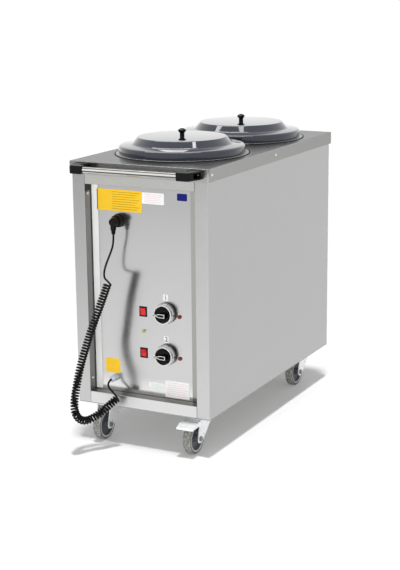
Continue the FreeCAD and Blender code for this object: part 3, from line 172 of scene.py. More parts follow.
# Painted light: the panel is painted darker higher up and over its right part, and paler at its foot.
panelSteel = metalFinish("groundStainlessPanel", {  # mirrors softly, brightest at its foot
    "tint": "#CBCBCB", "spread": 0.02, "grain": (140, 1.6, 0.8), "cloud": 160, "rough": (0.16, 0.21),
    "smear": 0.15,
    "zones": [("#B2B2B2", ("Z", 520, 260)), ("#EEEEEE", ("Z", 195, -28)), ("#A0A09C", ("X", 156, 0.5))]})
# Painted shade: the worktop's sides are painted a little darker than its top, and the front apron darker
# still towards its upper edge.
topSteel = metalFinish("groundStainlessTop", {  # a clouded top, its front apron darker towards the upper edge
    "tint": "#ADADAD", "spread": 0.03, "grain": (160, 160, 1.4), "cloud": 160, "rough": (0.20, 0.27),
    "smear": 0, "constants": {"Specular Tint": colour("#C8C8C8")},
    "zones": [("#A8A8A6", ("Z", 898.5, -0.5)), ("#868685", ("Y", -446, -2), ("Z", 886, 8))]})
innerSteel = metalFinish("millStainlessInside", {  # dull and uneven
    "tint": "#A3A3A0", "spread": 0.05, "grain": (3, 3, 60), "cloud": 90, "rough": (0.34, 0.46),
    "smear": 0.10})

# Polished, plated and turned metals
# Painted reflections: the dark band over the tube's top and the one across its middle are painted on.
tubeSteel = metalFinish("polishedStainlessTube", {  # a bright tube with the dark bands that it mirrors
    "tint": "#E6E6E4", "spread": 0.02, "grain": (90, 1.5, 1.5), "cloud": 60, "rough": (0.12, 0.18),
    "smear": 0.06,
    "zones": [("#706F6D", ("Z", 886.5, 0.8)), ("#5C5957", ("Z", 876.6, 0.6), ("Z", 881.4, -0.6))]})
chromePlate = metalFinish("chromePlatedRing", {  # a sharp mirror
    "tint": "#E4E4E3", "spread": 0.03, "grain": (6, 6, 6), "cloud": 40, "rough": (0.05, 0.10), "smear": 0.02})
screwSteel = metalFinish("brightScrewSteel", {  # small bright glints
    "tint": "#D8D8D6", "spread": 0.04, "grain": (3, 3, 3), "cloud": 12, "rough": (0.16, 0.26), "smear": 0.05})
axleSteel = metalFinish("dullAxleSteel", {  # a darker, softer glint
    "tint": "#8B8B89", "spread": 0.05, "grain": (3, 3, 3), "cloud": 12, "rough": (0.28, 0.38), "smear": 0.06})
zincSteel = metalFinish("blueZincPlate", {  # pale, cool and half matt
    "tint": "#F3F5F6", "spread": 0.03, "grain": (9, 9, 9), "cloud": 30, "rough": (0.24, 0.34), "smear": 0,
    "constants": {"Metallic": 0.4}})
springSteel = metalFinish("drawnSpringSteel", {  # dark wire with a broken sheen
    "tint": "#8E8E8C", "spread": 0.06, "grain": (4, 4, 1), "cloud": 30, "rough": (0.30, 0.42), "smear": 0.10})
turnedBrass = metalFinish("turnedBrass", {  # a pale yellow glint
    "tint": "#CFC59A", "spread": 0.04, "grain": (2, 2, 2), "cloud": 10, "rough": (0.20, 0.30), "smear": 0.05})


# Moulded plastics and films: a fine spark texture breaks up the gloss, cloudy patches vary the colour
plasticSet = {"grainDetail": 3, "cloudDetail": 2, "cloudRange": (0.3, 0.7), "index": 1.5}


def plasticFinish(name, spec):
    material, tree, shader = newMaterial(name, {"IOR": plasticSet["index"], **spec.get("constants", {})})
    spots = addNode(tree, "ShaderNodeTexCoord").outputs["Object"]
    grains = addNode(tree, "ShaderNodeTexNoise", {
        "Vector": spots, "Scale": perMetre / spec["grain"],
        "Detail": plasticSet["grainDetail"]}).outputs["Fac"]
    clouds = addNode(tree, "ShaderNodeTexNoise", {
        "Vector": spots, "Scale": perMetre / spec["cloud"],
        "Detail": plasticSet["cloudDetail"]}).outputs["Fac"]
    dark, light = (colour(tint) for tint in spec["tints"])
    tint = addNode(tree, "ShaderNodeMix", {0: clouds, 6: dark, 7: light}, data_type="RGBA").outputs[2]
    cloudLow, cloudHigh = plasticSet["cloudRange"]
    low, high = spec["rough"]
    rough = addNode(tree, "ShaderNodeMapRange", {
        "Value": clouds, "From Min": cloudLow, "From Max": cloudHigh, "To Min": low,
        "To Max": high}).outputs[0]
    spark = addNode(tree, "ShaderNodeBump", {
        "Height": grains, "Strength": spec["strength"], "Distance": spec["depth"] * mm}).outputs[0]
    tree.links.new(tint, shader.inputs["Base Color"])
    tree.links.new(rough, shader.inputs["Roughness"])
    tree.links.new(spark, shader.inputs["Normal"])
    return material


dullGloss = {"Specular IOR Level": 0.15}
blackPlastic = plasticFinish("blackPolyamide", {  # satin black
    "tints": ("#050506", "#0B0B0C"), "rough": (0.28, 0.38), "grain": 1.2, "cloud": 45, "depth": 0.06,
    "strength": 0.2, "constants": dullGloss})
glossBlack = plasticFinish("glossBlackPhenolic", {  # polished black
    "tints": ("#030304", "#070708"), "rough": (0.08, 0.14), "grain": 6, "cloud": 45, "depth": 0.02,
    "strength": 0.1, "constants": dullGloss})
cordSheath = plasticFinish("blackPvcSheath", {  # black with a thin highlight on each curl
    "tints": ("#060607", "#0C0C0D"), "rough": (0.14, 0.20), "grain": 1.5, "cloud": 45, "depth": 0.03,
    "strength": 0.15, "constants": dullGloss})
greyGland = plasticFinish("lightGreyPolyamide", {  # pale, cool satin
    "tints": ("#B4BCC4", "#C2CAD1"), "rough": (0.30, 0.42), "grain": 1.5, "cloud": 30, "depth": 0.05,
    "strength": 0.2})
hubPlastic = plasticFinish("darkGreyPolypropylene", {  # dull dark grey
    "tints": ("#45464A", "#525357"), "rough": (0.36, 0.48), "grain": 1.6, "cloud": 25, "depth": 0.08,
    "strength": 0.2})
lidPlastic = plasticFinish("slateGreyMelamine", {  # blue grey under a clear gloss
    "tints": ("#1A2231", "#202838"), "rough": (0.04, 0.07), "grain": 22, "cloud": 120, "depth": 0.02,
    "strength": 0.04, "constants": {"Specular IOR Level": 0.2, "Coat Weight": 1.0, "Coat Roughness": 0.03,
                                    "Coat IOR": 1.5}})
# Matt black for the painted shadow rings under the lids' rims
paintedShadowBlack = plasticFinish("blackPaintedShadowRing", {  # matt black
    "tints": ("#0C0C0D", "#151516"), "rough": (0.55, 0.70), "grain": 1.0, "cloud": 30, "depth": 0.06,
    "strength": 0.2, "constants": dullGloss})
redLens = plasticFinish("redAcrylicLens", {  # bright, glossy red
    "tints": ("#C80F14", "#E0181B"), "rough": (0.10, 0.16), "grain": 3, "cloud": 20, "depth": 0.03,
    "strength": 0.1})
darkRedLens = plasticFinish("darkRedAcrylicLens", {  # deep red, as a lamp that is out
    "tints": ("#5E0A0E", "#7C0F13"), "rough": (0.08, 0.14), "grain": 3, "cloud": 9, "depth": 0.03,
    "strength": 0.1})
yellowFilm = plasticFinish("yellowPolyesterFilm", {  # flat, strong yellow
    "tints": ("#EFBE0C", "#F5C716"), "rough": (0.34, 0.42), "grain": 4, "cloud": 30, "depth": 0.02,
    "strength": 0.1})
whiteFilm = plasticFinish("whitePolyesterFilm", {  # flat, warm white
    "tints": ("#E9E9E7", "#F2F2F0"), "rough": (0.34, 0.42), "grain": 4, "cloud": 30, "depth": 0.02,
    "strength": 0.1})
blueFilm = plasticFinish("bluePolyesterFilm", {  # flat, deep blue
    "tints": ("#0E1566", "#131B72"), "rough": (0.30, 0.38), "grain": 4, "cloud": 15, "depth": 0.02,
    "strength": 0.1, "constants": dullGloss})

# Screen inks: thin and matt, one finish in four colours
inkTints = {"black": ("#161617", "#222223"), "paleRed": ("#D9B0B8", "#E2BEC5"),
            "ochre": ("#6E4508", "#7A4E0C"), "paleGreen": ("#A9D8C6", "#B6E0D0")}
inks = {}
for inkName, tints in inkTints.items():
    inks[inkName] = plasticFinish(f"{inkName}ScreenInk", {
        "tints": tints, "rough": (0.50, 0.60), "grain": 2, "cloud": 12, "depth": 0.01, "strength": 0.1,
        "constants": dullGloss})


# Grey rubber tyre: matt and dusty, with a pale moulding ring on its sides and a worn, dusty tread
tyreSet = {"side": ("#55565A", "#6B6C70"), "ring": "#DCDDE0", "tread": ("#5E5E5D", "#A3A29C"),
           "ringFrom": 38.5, "ringTo": 42, "treadFrom": 47.3, "soft": 0.4, "rough": (0.60, 0.80),
           "dust": 7, "dustDetail": 4, "dustBreakup": 0.65, "dustRange": (0.3, 0.7),
           "patchRange": (0.38, 0.62), "grain": 1.5, "grainDetail": 2, "gritStrength": 0.4,
           "gritDepth": 0.15, "constants": {"IOR": 1.5, "Specular IOR Level": 0.3}}


def tyreRubber(name, centre, spec):
    material, tree, shader = newMaterial(name, spec["constants"])
    spots = addNode(tree, "ShaderNodeTexCoord").outputs["Object"]
    turned = addNode(tree, "ShaderNodeMapping", {
        "Vector": spots, "Scale": (0, 1, 1), "Location": (0, -centre.y, -centre.z)}).outputs[0]
    reach = addNode(tree, "ShaderNodeVectorMath", {0: turned}, operation="LENGTH").outputs["Value"]
    dust = addNode(tree, "ShaderNodeTexNoise", {
        "Vector": spots, "Scale": perMetre / spec["dust"], "Detail": spec["dustDetail"],
        "Roughness": spec["dustBreakup"]}).outputs["Fac"]
    grains = addNode(tree, "ShaderNodeTexNoise", {
        "Vector": spots, "Scale": perMetre / spec["grain"], "Detail": spec["grainDetail"]}).outputs["Fac"]
    dark, light = (colour(tint) for tint in spec["side"])
    tint = addNode(tree, "ShaderNodeMix", {0: dust, 6: dark, 7: light}, data_type="RGBA").outputs[2]
    low, high = spec["patchRange"]
    patches = addNode(tree, "ShaderNodeMapRange", {
        "Value": dust, "From Min": low, "From Max": high}).outputs[0]
    darkTread, lightTread = (colour(treadTint) for treadTint in spec["tread"])
    tread = addNode(tree, "ShaderNodeMix", {0: patches, 6: darkTread, 7: lightTread},
                    data_type="RGBA").outputs[2]
    zones = ((colour(spec["ring"]), spec["ringFrom"]), (light, spec["ringTo"]), (tread, spec["treadFrom"]))
    for zoneTint, fromReach in zones:
        share = addNode(tree, "ShaderNodeMapRange", {
            "Value": reach, "From Min": (fromReach - spec["soft"]) * mm,
            "From Max": (fromReach + spec["soft"]) * mm}).outputs[0]
        tint = addNode(tree, "ShaderNodeMix", {0: share, 6: tint, 7: zoneTint}, data_type="RGBA").outputs[2]
    dustLow, dustHigh = spec["dustRange"]
    low, high = spec["rough"]
    rough = addNode(tree, "ShaderNodeMapRange", {
        "Value": dust, "From Min": dustLow, "From Max": dustHigh, "To Min": low, "To Max": high}).outputs[0]
    grit = addNode(tree, "ShaderNodeBump", {
        "Height": grains, "Strength": spec["gritStrength"], "Distance": spec["gritDepth"] * mm}).outputs[0]
    tree.links.new(tint, shader.inputs["Base Color"])
    tree.links.new(rough, shader.inputs["Roughness"])
    tree.links.new(grit, shader.inputs["Normal"])
    return material


def middle(nodeName):
    low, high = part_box(nodeName)
    return (low + high) / 2


# Finishes of the solids that stay as they are
finishes = {
    "worktop": topSteel, "left_side_panel": postSteel, "right_side_panel": sideSteel, "rear_panel": sideSteel,
    "base_plate": innerSteel, "front_top_rail": railSteel, "front_bottom_rail": lowRailSteel,
    "control_panel": panelSteel, "cabinet_screws": screwSteel, "handle_tube": tubeSteel,
    "handle_brackets": blackPlastic, "handle_screws": screwSteel, "front_well": innerSteel,
    "rear_well": innerSteel, "front_springs": springSteel, "rear_springs": springSteel,
    "front_heater": springSteel, "rear_heater": springSteel, "thermostats": blackPlastic,
    "switch_housings": blackPlastic, "pilot_lamps": darkRedLens, "earth_stud": turnedBrass,
    "cable_gland": greyGland, "plug_holder": blackPlastic, "plug": blackPlastic, "caster_plates": zincSteel,
    "caster_bolts": screwSteel, "front_plate_carrier": innerSteel, "rear_plate_carrier": innerSteel,
    "upper_rocker": redLens, "lower_rocker": redLens,
}
for caster in ("front_left", "front_right", "rear_left", "rear_right"):
    finishes.update({f"{caster}_fork": zincSteel, f"{caster}_axle": axleSteel, f"{caster}_hub": hubPlastic,
                     f"{caster}_tyre": tyreRubber(f"greyRubber_{caster}", middle(f"{caster}_tyre"), tyreSet)})
for caster in ("front_right", "rear_left"):
    finishes[f"{caster}_brake_pedal"] = zincSteel


def paint(piece, material):
    piece.data.materials.clear()
    piece.data.materials.append(material)


for nodeName, material in finishes.items():
    paint(nodes[nodeName], material)
print("materials made:", len(bpy.data.materials), "and solids finished:", len(finishes))


# Small helpers for modelling; lengths in millimetres and angles in degrees
modelSet = {"mergeGap": 0.002, "pointRadius": 0.001, "roundSteps": 6, "smoothAngle": 35}
facingFront = (math.radians(90), 0, 0)
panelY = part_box("dial_rings")[1].y


def deselectAll():
    bpy.ops.object.select_all(action="DESELECT")


def activate(piece):
    deselectAll()
    piece.select_set(True)
    bpy.context.view_layer.objects.active = piece


def applyPlace(piece):
    activate(piece)
    bpy.ops.object.transform_apply(location=True, rotation=True, scale=True)


def moveTo(piece, place):
    piece.location = place
    applyPlace(piece)
    return piece


def standOnPanel(piece, x, z):
    # A piece modelled upwards is turned to face the front and set on the control panel, in metres
    piece.rotation_euler = facingFront
    return moveTo(piece, (x, panelY, z))


def copyPiece(pattern):
    # A copy with its own mesh
    activate(pattern)
    bpy.ops.object.duplicate()
    return bpy.context.object


def removePattern(pattern):
    # The mesh takes its object with it
    bpy.data.meshes.remove(pattern.data)


def addModifier(piece, kind, **settings):
    activate(piece)
    modifier = piece.modifiers.new(kind.lower(), kind)
    for name, value in settings.items():
        setattr(modifier, name, value)
    bpy.ops.object.modifier_apply(modifier=modifier.name)


def clearSelection(piece, kind):
    activate(piece)
    bpy.ops.object.mode_set(mode="EDIT")
    bpy.ops.mesh.select_mode(type=kind)
    bpy.ops.mesh.select_all(action="DESELECT")
    bpy.ops.object.mode_set(mode="OBJECT")


def selectFaces(piece, test):
    # Leaves the piece in edit mode with the faces chosen by place or normal selected
    clearSelection(piece, "FACE")
    for face in piece.data.polygons:
        face.select = test(face)
    bpy.ops.object.mode_set(mode="EDIT")


def selectEdges(piece, test):
    # Leaves the piece in edit mode with the edges whose two ends pass the test selected
    clearSelection(piece, "EDGE")
    for edge in piece.data.edges:
        edge.select = all(test(piece.data.vertices[i].co) for i in edge.vertices)
    bpy.ops.object.mode_set(mode="EDIT")


def extrude(shift):
    bpy.ops.mesh.extrude_region_move(TRANSFORM_OT_translate={"value": shift})


def closeMesh():
    # Ends edit mode with doubles merged and faces turned outwards
    bpy.ops.mesh.select_all(action="SELECT")
    bpy.ops.mesh.remove_doubles(threshold=modelSet["mergeGap"] * mm)
    bpy.ops.mesh.normals_make_consistent(inside=False)
    bpy.ops.object.mode_set(mode="OBJECT")


def joinPieces(pieces):
    activate(pieces[0])
    for piece in pieces[1:]:
        piece.select_set(True)
    bpy.ops.object.join()
    return pieces[0]


def settle(piece, name, body, material, smoothAngle=modelSet["smoothAngle"]):
    piece.name = name
    paint(piece, material)
    activate(piece)
    bpy.ops.object.shade_smooth_by_angle(angle=math.radians(smoothAngle))
    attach(piece, body)


def roundedOutline(corners, steps=modelSet["roundSteps"]):
    # Corners of (radius, height, rounding) in millimetres become a smooth outline
    outline = []
    for i, (radius, height, rounding) in enumerate(corners):
        spot = Vector((radius, height))
        if rounding == 0:
            outline.append(spot)
            continue
        back = (Vector(corners[i - 1][:2]) - spot).normalized()
        ahead = (Vector(corners[i + 1][:2]) - spot).normalized()
        half = back.angle(ahead) / 2
        reach = rounding / math.tan(half)
        centre = spot + (back + ahead).normalized() * (rounding / math.sin(half))
        first = spot + back * reach - centre
        last = spot + ahead * reach - centre
        bend = first.angle(last)
        for k in range(steps + 1):
            share = k / steps
            swung = first * math.sin((1 - share) * bend) + last * math.sin(share * bend)
            outline.append(centre + swung / math.sin(bend))
    return outline


def turnPiece(outline, segments, solid=True):
    # A ring is extruded up and scaled from point to point of an outline of (radius, height)
    deselectAll()
    radius, height = outline[0]
    bpy.ops.mesh.primitive_circle_add(vertices=segments, radius=radius * mm, location=(0, 0, height * mm),
                                      fill_type="NGON" if solid else "NOTHING")
    piece = bpy.context.object
    applyPlace(piece)
    bpy.ops.object.mode_set(mode="EDIT")
    bpy.ops.mesh.select_mode(type="FACE" if solid else "EDGE")
    bpy.ops.mesh.select_all(action="SELECT")
    for nextRadius, nextHeight in outline[1:]:
        extrude((0, 0, (nextHeight - height) * mm))
        if nextRadius < modelSet["pointRadius"]:
            bpy.ops.mesh.merge(type="CENTER")
            break
        share = nextRadius / radius
        bpy.ops.transform.resize(value=(share, share, 1), center_override=(0, 0, nextHeight * mm))
        radius, height = nextRadius, nextHeight
    closeMesh()
    return piece


def turnRing(corners, steps, segments):
    # The outline runs back to its first corner
    return turnPiece(roundedOutline(corners + corners[:1], steps), segments, solid=False)


def addPlate(place, size, turn=(0, 0, 0)):
    # A flat plate, its place in metres and its size in millimetres
    deselectAll()
    bpy.ops.mesh.primitive_plane_add(size=1, location=place, rotation=turn)
    plate = bpy.context.object
    wide, high = size
    plate.scale = (wide * mm, high * mm, 1)
    applyPlace(plate)
    return plate


print("modelling helpers ready")


# Cord: points in millimetres, the same as the solids' route
cordSet = {"wire": 6.3, "coilWidth": 26.5, "turns": 65.62, "startShare": 0.79, "pointsPerTurn": 16,
           "runIn": 12, "length": 4.48, "order": 3, "routeSteps": 40, "pathSteps": 2, "roundSteps": 3,
           "coil": [(-85.4, -499, 535), (-106.2, -506.2, 474.3), (-127.7, -521.3, 408.1),
                    (-144.8, -535.2, 345.1), (-162.2, -546.3, 279.6), (-166, -565.6, 221.5),
                    (-162.8, -588.4, 176.5), (-158.2, -595.5, 140.5), (-153, -576.7, 111.3),
                    (-142.1, -549.8, 101.9), (-126.4, -524.7, 110.9), (-107.8, -509.5, 127.3),
                    (-95.9, -485.1, 143.2), (-80, -469, 160)],
           "tail": [(-89, -451, 687), (-89, -451, 663.5), (-94.5, -449.5, 637.6), (-103.5, -455.5, 611.1),
                    (-111, -463, 586.7), (-115.8, -468.5, 563.8), (-113.5, -472.5, 544.7)],
           "lead": [(-107, -451.5, 174), (-117, -451.5, 182), (-122, -451.5, 190.5), (-121, -451, 201),
                    (-117, -444.5, 209), (-117, -434, 209)]}


def addSpline(name, points):
    curve = bpy.data.curves.new(name, "CURVE")
    curve.dimensions = "3D"
    spline = curve.splines.new("NURBS")
    spline.points.add(len(points) - 1)
    for spot, place in zip(spline.points, points):
        spot.co = (*place, 1)
    spline.order_u = cordSet["order"]
    spline.use_endpoint_u = True
    piece = bpy.data.objects.new(name, curve)
    scene.collection.objects.link(piece)
    return piece


def splinePlaces(points, resolution):
    # Points read off the smooth line through the route
    route = addSpline("routeLine", points)
    route.data.splines[0].resolution_u = resolution
    line = bpy.data.meshes.new_from_object(route)
    places = [vertex.co.copy() for vertex in line.vertices]
    bpy.data.objects.remove(route)
    bpy.data.meshes.remove(line)
    return places


def evenPlaces(places, count):
    # The same line cut into equal lengths, with its direction at each cut
    walked = [0]
    for before, after in zip(places, places[1:]):
        walked.append(walked[-1] + (after - before).length)
    even = []
    at = 0
    for i in range(count + 1):
        goal = walked[-1] * i / count
        while at < len(places) - 2 and walked[at + 1] < goal:
            at += 1
        step = places[at + 1] - places[at]
        share = (goal - walked[at]) / step.length
        even.append((places[at] + step * share, step.normalized()))
    return even


def curlyPlaces(spec):
    # A helix carried along the coil's line without twist
    count = round(spec["turns"] * spec["pointsPerTurn"])
    radius = (spec["coilWidth"] - spec["wire"]) / 2
    radius /= math.cos(math.pi / spec["pointsPerTurn"]) ** 0.5  # the smooth line runs inside its points
    side = Vector((1, 0, 0))
    curls = []
    route = splinePlaces([Vector(point) for point in spec["coil"]], spec["routeSteps"])
    for i, (centre, along) in enumerate(evenPlaces(route, count)):
        side = (side - along * side.dot(along)).normalized()
        over = along.cross(side)
        angle = 2 * math.pi * (spec["startShare"] + spec["turns"] * i / count)
        curls.append(centre + side * (radius * math.cos(angle)) + over * (radius * math.sin(angle)))
    return curls


def addCord(spec):
    curls = curlyPlaces(spec)
    inWay = (curls[1] - curls[0]).normalized()
    outWay = (curls[-1] - curls[-2]).normalized()
    coilIn = curls[0] - inWay * spec["wire"]
    coilOut = curls[-1] + outWay * spec["wire"]
    lead = [Vector(point) for point in spec["lead"]][::-1]
    tail = [Vector(point) for point in spec["tail"]][::-1]
    route = lead + [coilOut + outWay * spec["runIn"], coilOut] + curls[::-1]
    route += [coilIn, coilIn - inWay * spec["runIn"]] + tail
    route = [place * mm for place in route]
    cord = addSpline("curlyCord", route)
    cord.data.splines[0].resolution_u = spec["pathSteps"]
    cord.data.bevel_depth = spec["wire"] / 2 * mm
    cord.data.bevel_resolution = spec["roundSteps"]
    cord.data.use_fill_caps = True
    cord.data.materials.append(cordSheath)
    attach(cord, "cabinet")
    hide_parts("cord_lead", "cord_coil", "cord_tail")


addCord(cordSet)
print("cord laid")


# Lids: one thin moulded shell each, turned from rim to crown; the knob is a mushroom.
# The knob's heights are taken down from its top, because its foot stands inside the lid.
lidSet = {"rim": 25, "shelf": 42, "waistRise": 29, "lean": 19, "rimRound": 8, "waistRound": 13,
          "crownRound": 5, "wall": 2, "segments": 160, "smoothAngle": 30}
lidKnobSet = {"foot": 7.5, "neck": 7.4, "neckDrop": 15.5, "neckRound": 3, "head": 14, "headDrop": 7,
              "chinRound": 1.2, "dome": 8, "domeDrop": 1.2, "domeRound": 18, "segments": 64,
              "smoothAngle": 40}


def modelLid(spec):
    low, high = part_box("front_lid")
    radius = (high.x - low.x) / 2 / mm
    height = (high.z - low.z) / mm
    waist = radius - spec["shelf"]
    outline = roundedOutline([
        (radius, 0, 0), (radius, spec["rim"], spec["rimRound"]),
        (waist, spec["waistRise"], spec["waistRound"]),
        (waist - spec["lean"], height, spec["crownRound"]), (0, height, 0)])
    lid = turnPiece(outline, spec["segments"], solid=False)
    addModifier(lid, "SOLIDIFY", thickness=spec["wall"] * mm, offset=-1)
    return lid


def modelLidKnob(spec):
    low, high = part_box("front_lid_knob")
    top = (high.z - low.z) / mm
    outline = roundedOutline([
        (spec["foot"], 0, 0), (spec["neck"], top - spec["neckDrop"], spec["neckRound"]),
        (spec["head"], top - spec["headDrop"], spec["chinRound"]),
        (spec["dome"], top - spec["domeDrop"], spec["domeRound"]), (0, top, 0)])
    return turnPiece(outline, spec["segments"])


lidPattern = modelLid(lidSet)
lidKnobPattern = modelLidKnob(lidKnobSet)
for side in ("front", "rear"):
    centre = middle(f"{side}_lid")
    lid = moveTo(copyPiece(lidPattern), (centre.x, centre.y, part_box(f"{side}_lid")[0].z))
    settle(lid, f"{side}LidShell", f"{side}_cover", lidPlastic, lidSet["smoothAngle"])
    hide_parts(f"{side}_lid")
    knob = moveTo(copyPiece(lidKnobPattern), (centre.x, centre.y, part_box(f"{side}_lid_knob")[0].z))
    settle(knob, f"{side}LidKnob", f"{side}_cover", glossBlack, lidKnobSet["smoothAngle"])
    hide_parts(f"{side}_lid_knob")
removePattern(lidPattern)
removePattern(lidKnobPattern)
print("lids turned")


# Painted shadow: a thin matt black ring round the flange of each well, standing for the shade under each
# lid's rim
paintedShadowRingSet = {"inside": 212.3, "outside": 215.6, "height": 1.8, "edge": 0.7, "edgeSteps": 3, "segments": 160}


def modelPaintedShadowRing(spec):
    inside, outside, height, edge = (spec[size] for size in ("inside", "outside", "height", "edge"))
    return turnRing([(inside, 0, 0), (outside, 0, 0), (outside, height, edge), (inside, height, edge)],
                    spec["edgeSteps"], spec["segments"])


paintedShadowRingPattern = modelPaintedShadowRing(paintedShadowRingSet)
for side in ("front", "rear"):
    centre = middle(f"{side}_lid")
    paintedShadowRing = moveTo(copyPiece(paintedShadowRingPattern), (centre.x, centre.y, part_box("worktop")[1].z))
    settle(paintedShadowRing, f"{side}WellPaintedShadowRing", "cabinet", paintedShadowBlack)
removePattern(paintedShadowRingPattern)
print("paintedShadowRings laid")


# Dials: a black foot, a stepped chrome bezel with tick marks and a black band of painted shade in its groove,
# and a pointed grip with a bright outline.
# A bezel step is how far it lies inside the edge, its height over the foot and its rounding.
dialSet = {"outside": 34.2, "inside": 27, "depth": 29, "segments": 96,
           "foot": 8, "footInset": 1, "footRound": 1, "footSteps": 3,
           "bezel": [(1.2, 0, 0), (0, 2, 0.8), (1.2, 4.5, 0.6), (0.9, 7, 0.8)], "lip": 30.6, "lipRound": 1.2,
           "boreRound": 0.6, "bezelSteps": 4, "bezelAngle": 25,
           "grooveFrom": 3.4, "grooveTo": 5, "grooveIn": 2, "grooveOut": 0.5, "grooveRound": 0.4,
           "grooveSteps": 2,
           "ticks": 11, "sweep": 270, "middleTick": 90, "tickLong": 1.8, "tickWide": 1.0, "tickHigh": 0.25,
           "tickSink": 0.05, "tickAt": 28.6}
gripSet = {"disc": 25, "discBack": 19, "discFront": 30, "backEdge": 2, "backRound": 0.8, "frontRound": 2.2,
           "groove": 0.8, "grooveAt": (21.5, 19), "grooveSlope": 0.6, "segments": 72,
           "tip": 24.5, "tail": 16, "width": 13, "rise": 14, "sink": 1, "nose": 22, "tipShare": 0.1,
           "soft": 1.6, "softSteps": 3, "softFrom": 30, "smoothAngle": 30,
           "trim": 1.9, "trimHigh": 0.3, "near": 0.1, "upright": 0.99}


def modelDial(spec):
    edge, bore, foot, depth = (spec[size] for size in ("outside", "inside", "foot", "depth"))
    segments = spec["segments"]
    footEdge = edge - spec["footInset"]
    footRing = turnRing([
        (bore, 0, 0), (footEdge, 0, 0), (footEdge, foot, spec["footRound"]), (bore, foot, 0)],
        spec["footSteps"], segments)
    steps = [(edge - inset, foot + rise, rounding) for inset, rise, rounding in spec["bezel"]]
    lip = [(spec["lip"], depth, spec["lipRound"]), (bore, depth, spec["boreRound"])]
    bezel = turnRing([(bore, foot, 0)] + steps + lip, spec["bezelSteps"], segments)
    # A black ring fills the notch between the bezel's steps as painted shade
    low, top = foot + spec["grooveFrom"], foot + spec["grooveTo"]
    inner, outer = edge - spec["grooveIn"], edge - spec["grooveOut"]
    groove = turnRing([(inner, low, 0), (outer, low, 0), (outer, top, spec["grooveRound"]), (inner, top, 0)],
                      spec["grooveSteps"], segments)
    return footRing, bezel, groove


def modelTicks(spec):
    # One tick on the lip, copied round the sweep
    tick = addPlate((spec["tickAt"] * mm, 0, (spec["depth"] - spec["tickSink"]) * mm),
                    (spec["tickLong"], spec["tickWide"]))
    bpy.ops.object.mode_set(mode="EDIT")
    bpy.ops.mesh.select_all(action="SELECT")
    extrude((0, 0, spec["tickHigh"] * mm))
    closeMesh()
    marks = []
    for i in range(spec["ticks"]):
        mark = copyPiece(tick)
        turned = spec["sweep"] / 2 - spec["sweep"] * i / (spec["ticks"] - 1)
        mark.rotation_euler = (0, 0, math.radians(spec["middleTick"] + turned))
        applyPlace(mark)
        marks.append(mark)
    removePattern(tick)
    return joinPieces(marks)


def modelGrip(spec):
    rim, back, front = spec["disc"], spec["discBack"], spec["discFront"]
    outer, inner = spec["grooveAt"]
    grooveFloor = front - spec["groove"]
    disc = turnPiece(roundedOutline([
        (rim - spec["backEdge"], back, 0), (rim, back + spec["backEdge"], spec["backRound"]),
        (rim, front, spec["frontRound"]), (outer, front, 0),
        (outer - spec["grooveSlope"], grooveFloor, 0), (inner + spec["grooveSlope"], grooveFloor, 0),
        (inner, front, 0), (0, front, 0)]), spec["segments"])
    straight = spec["tip"] - spec["nose"]
    floorHeight = (front - spec["sink"]) * mm
    near = spec["near"] * mm
    grip = addPlate(((spec["tail"] - straight) / 2 * mm, 0, floorHeight),
                    (spec["tail"] + straight, spec["width"]))
    selectEdges(grip, lambda spot: spot.x < near - straight * mm)
    extrude((-spec["nose"] * mm, 0, 0))
    bpy.ops.transform.resize(value=(1, spec["tipShare"], 1),
                             center_override=(-spec["tip"] * mm, 0, floorHeight))
    bpy.ops.mesh.select_mode(type="FACE")
    bpy.ops.mesh.select_all(action="SELECT")
    extrude((0, 0, (spec["rise"] + spec["sink"]) * mm))
    closeMesh()
    addModifier(grip, "BEVEL", width=spec["soft"] * mm, segments=spec["softSteps"], limit_method="ANGLE",
                angle_limit=math.radians(spec["softFrom"]))
    # The bright outline is the rim of the grip's top, lifted off it
    topHeight = max(vertex.co.z for vertex in grip.data.vertices)
    selectFaces(grip, lambda face: face.normal.z > spec["upright"] and face.center.z > topHeight - near)
    bpy.ops.mesh.duplicate()
    bpy.ops.mesh.separate(type="SELECTED")
    bpy.ops.object.mode_set(mode="OBJECT")
    outlineTrim = next(piece for piece in bpy.context.selected_objects if piece is not grip)
    selectFaces(outlineTrim, lambda face: True)
    bpy.ops.mesh.inset(thickness=spec["trim"] * mm)
    bpy.ops.mesh.delete(type="FACE")
    bpy.ops.mesh.select_all(action="SELECT")
    extrude((0, 0, spec["trimHigh"] * mm))
    closeMesh()
    return joinPieces([disc, grip]), outlineTrim


footPattern, bezelPattern, grooveShadePattern = modelDial(dialSet)
tickPattern = modelTicks(dialSet)
gripPattern, outlinePattern = modelGrip(gripSet)
for side in ("upper", "lower"):
    body = f"{side}_dial_knob"
    # Each row is a name, a pattern, a body, a material, a slot and a smoothing angle
    rows = (("DialFoot", footPattern, "cabinet", glossBlack, "black_plastic", modelSet["smoothAngle"]),
            ("DialBezel", bezelPattern, "cabinet", chromePlate, "chrome_ring", dialSet["bezelAngle"]),
            ("DialPaintedGrooveShade", grooveShadePattern, "cabinet", glossBlack, "black_plastic", modelSet["smoothAngle"]),
            ("DialTicks", tickPattern, "cabinet", inks["black"], "black_plastic", modelSet["smoothAngle"]),
            ("DialKnob", gripPattern, body, glossBlack, "black_plastic", gripSet["smoothAngle"]),
            ("KnobOutline", outlinePattern, body, chromePlate, "chrome_ring", modelSet["smoothAngle"]))
    axis = middle(f"{side}_knob")
    for name, pattern, rides, material, slot, smoothAngle in rows:
        piece = standOnPanel(copyPiece(pattern), axis.x, axis.z)
        settle(piece, side + name, rides, material, smoothAngle)
    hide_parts(f"{side}_knob")
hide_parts("dial_rings")
for pattern in (footPattern, bezelPattern, grooveShadePattern, tickPattern, gripPattern, outlinePattern):
    removePattern(pattern)
print("dials set")


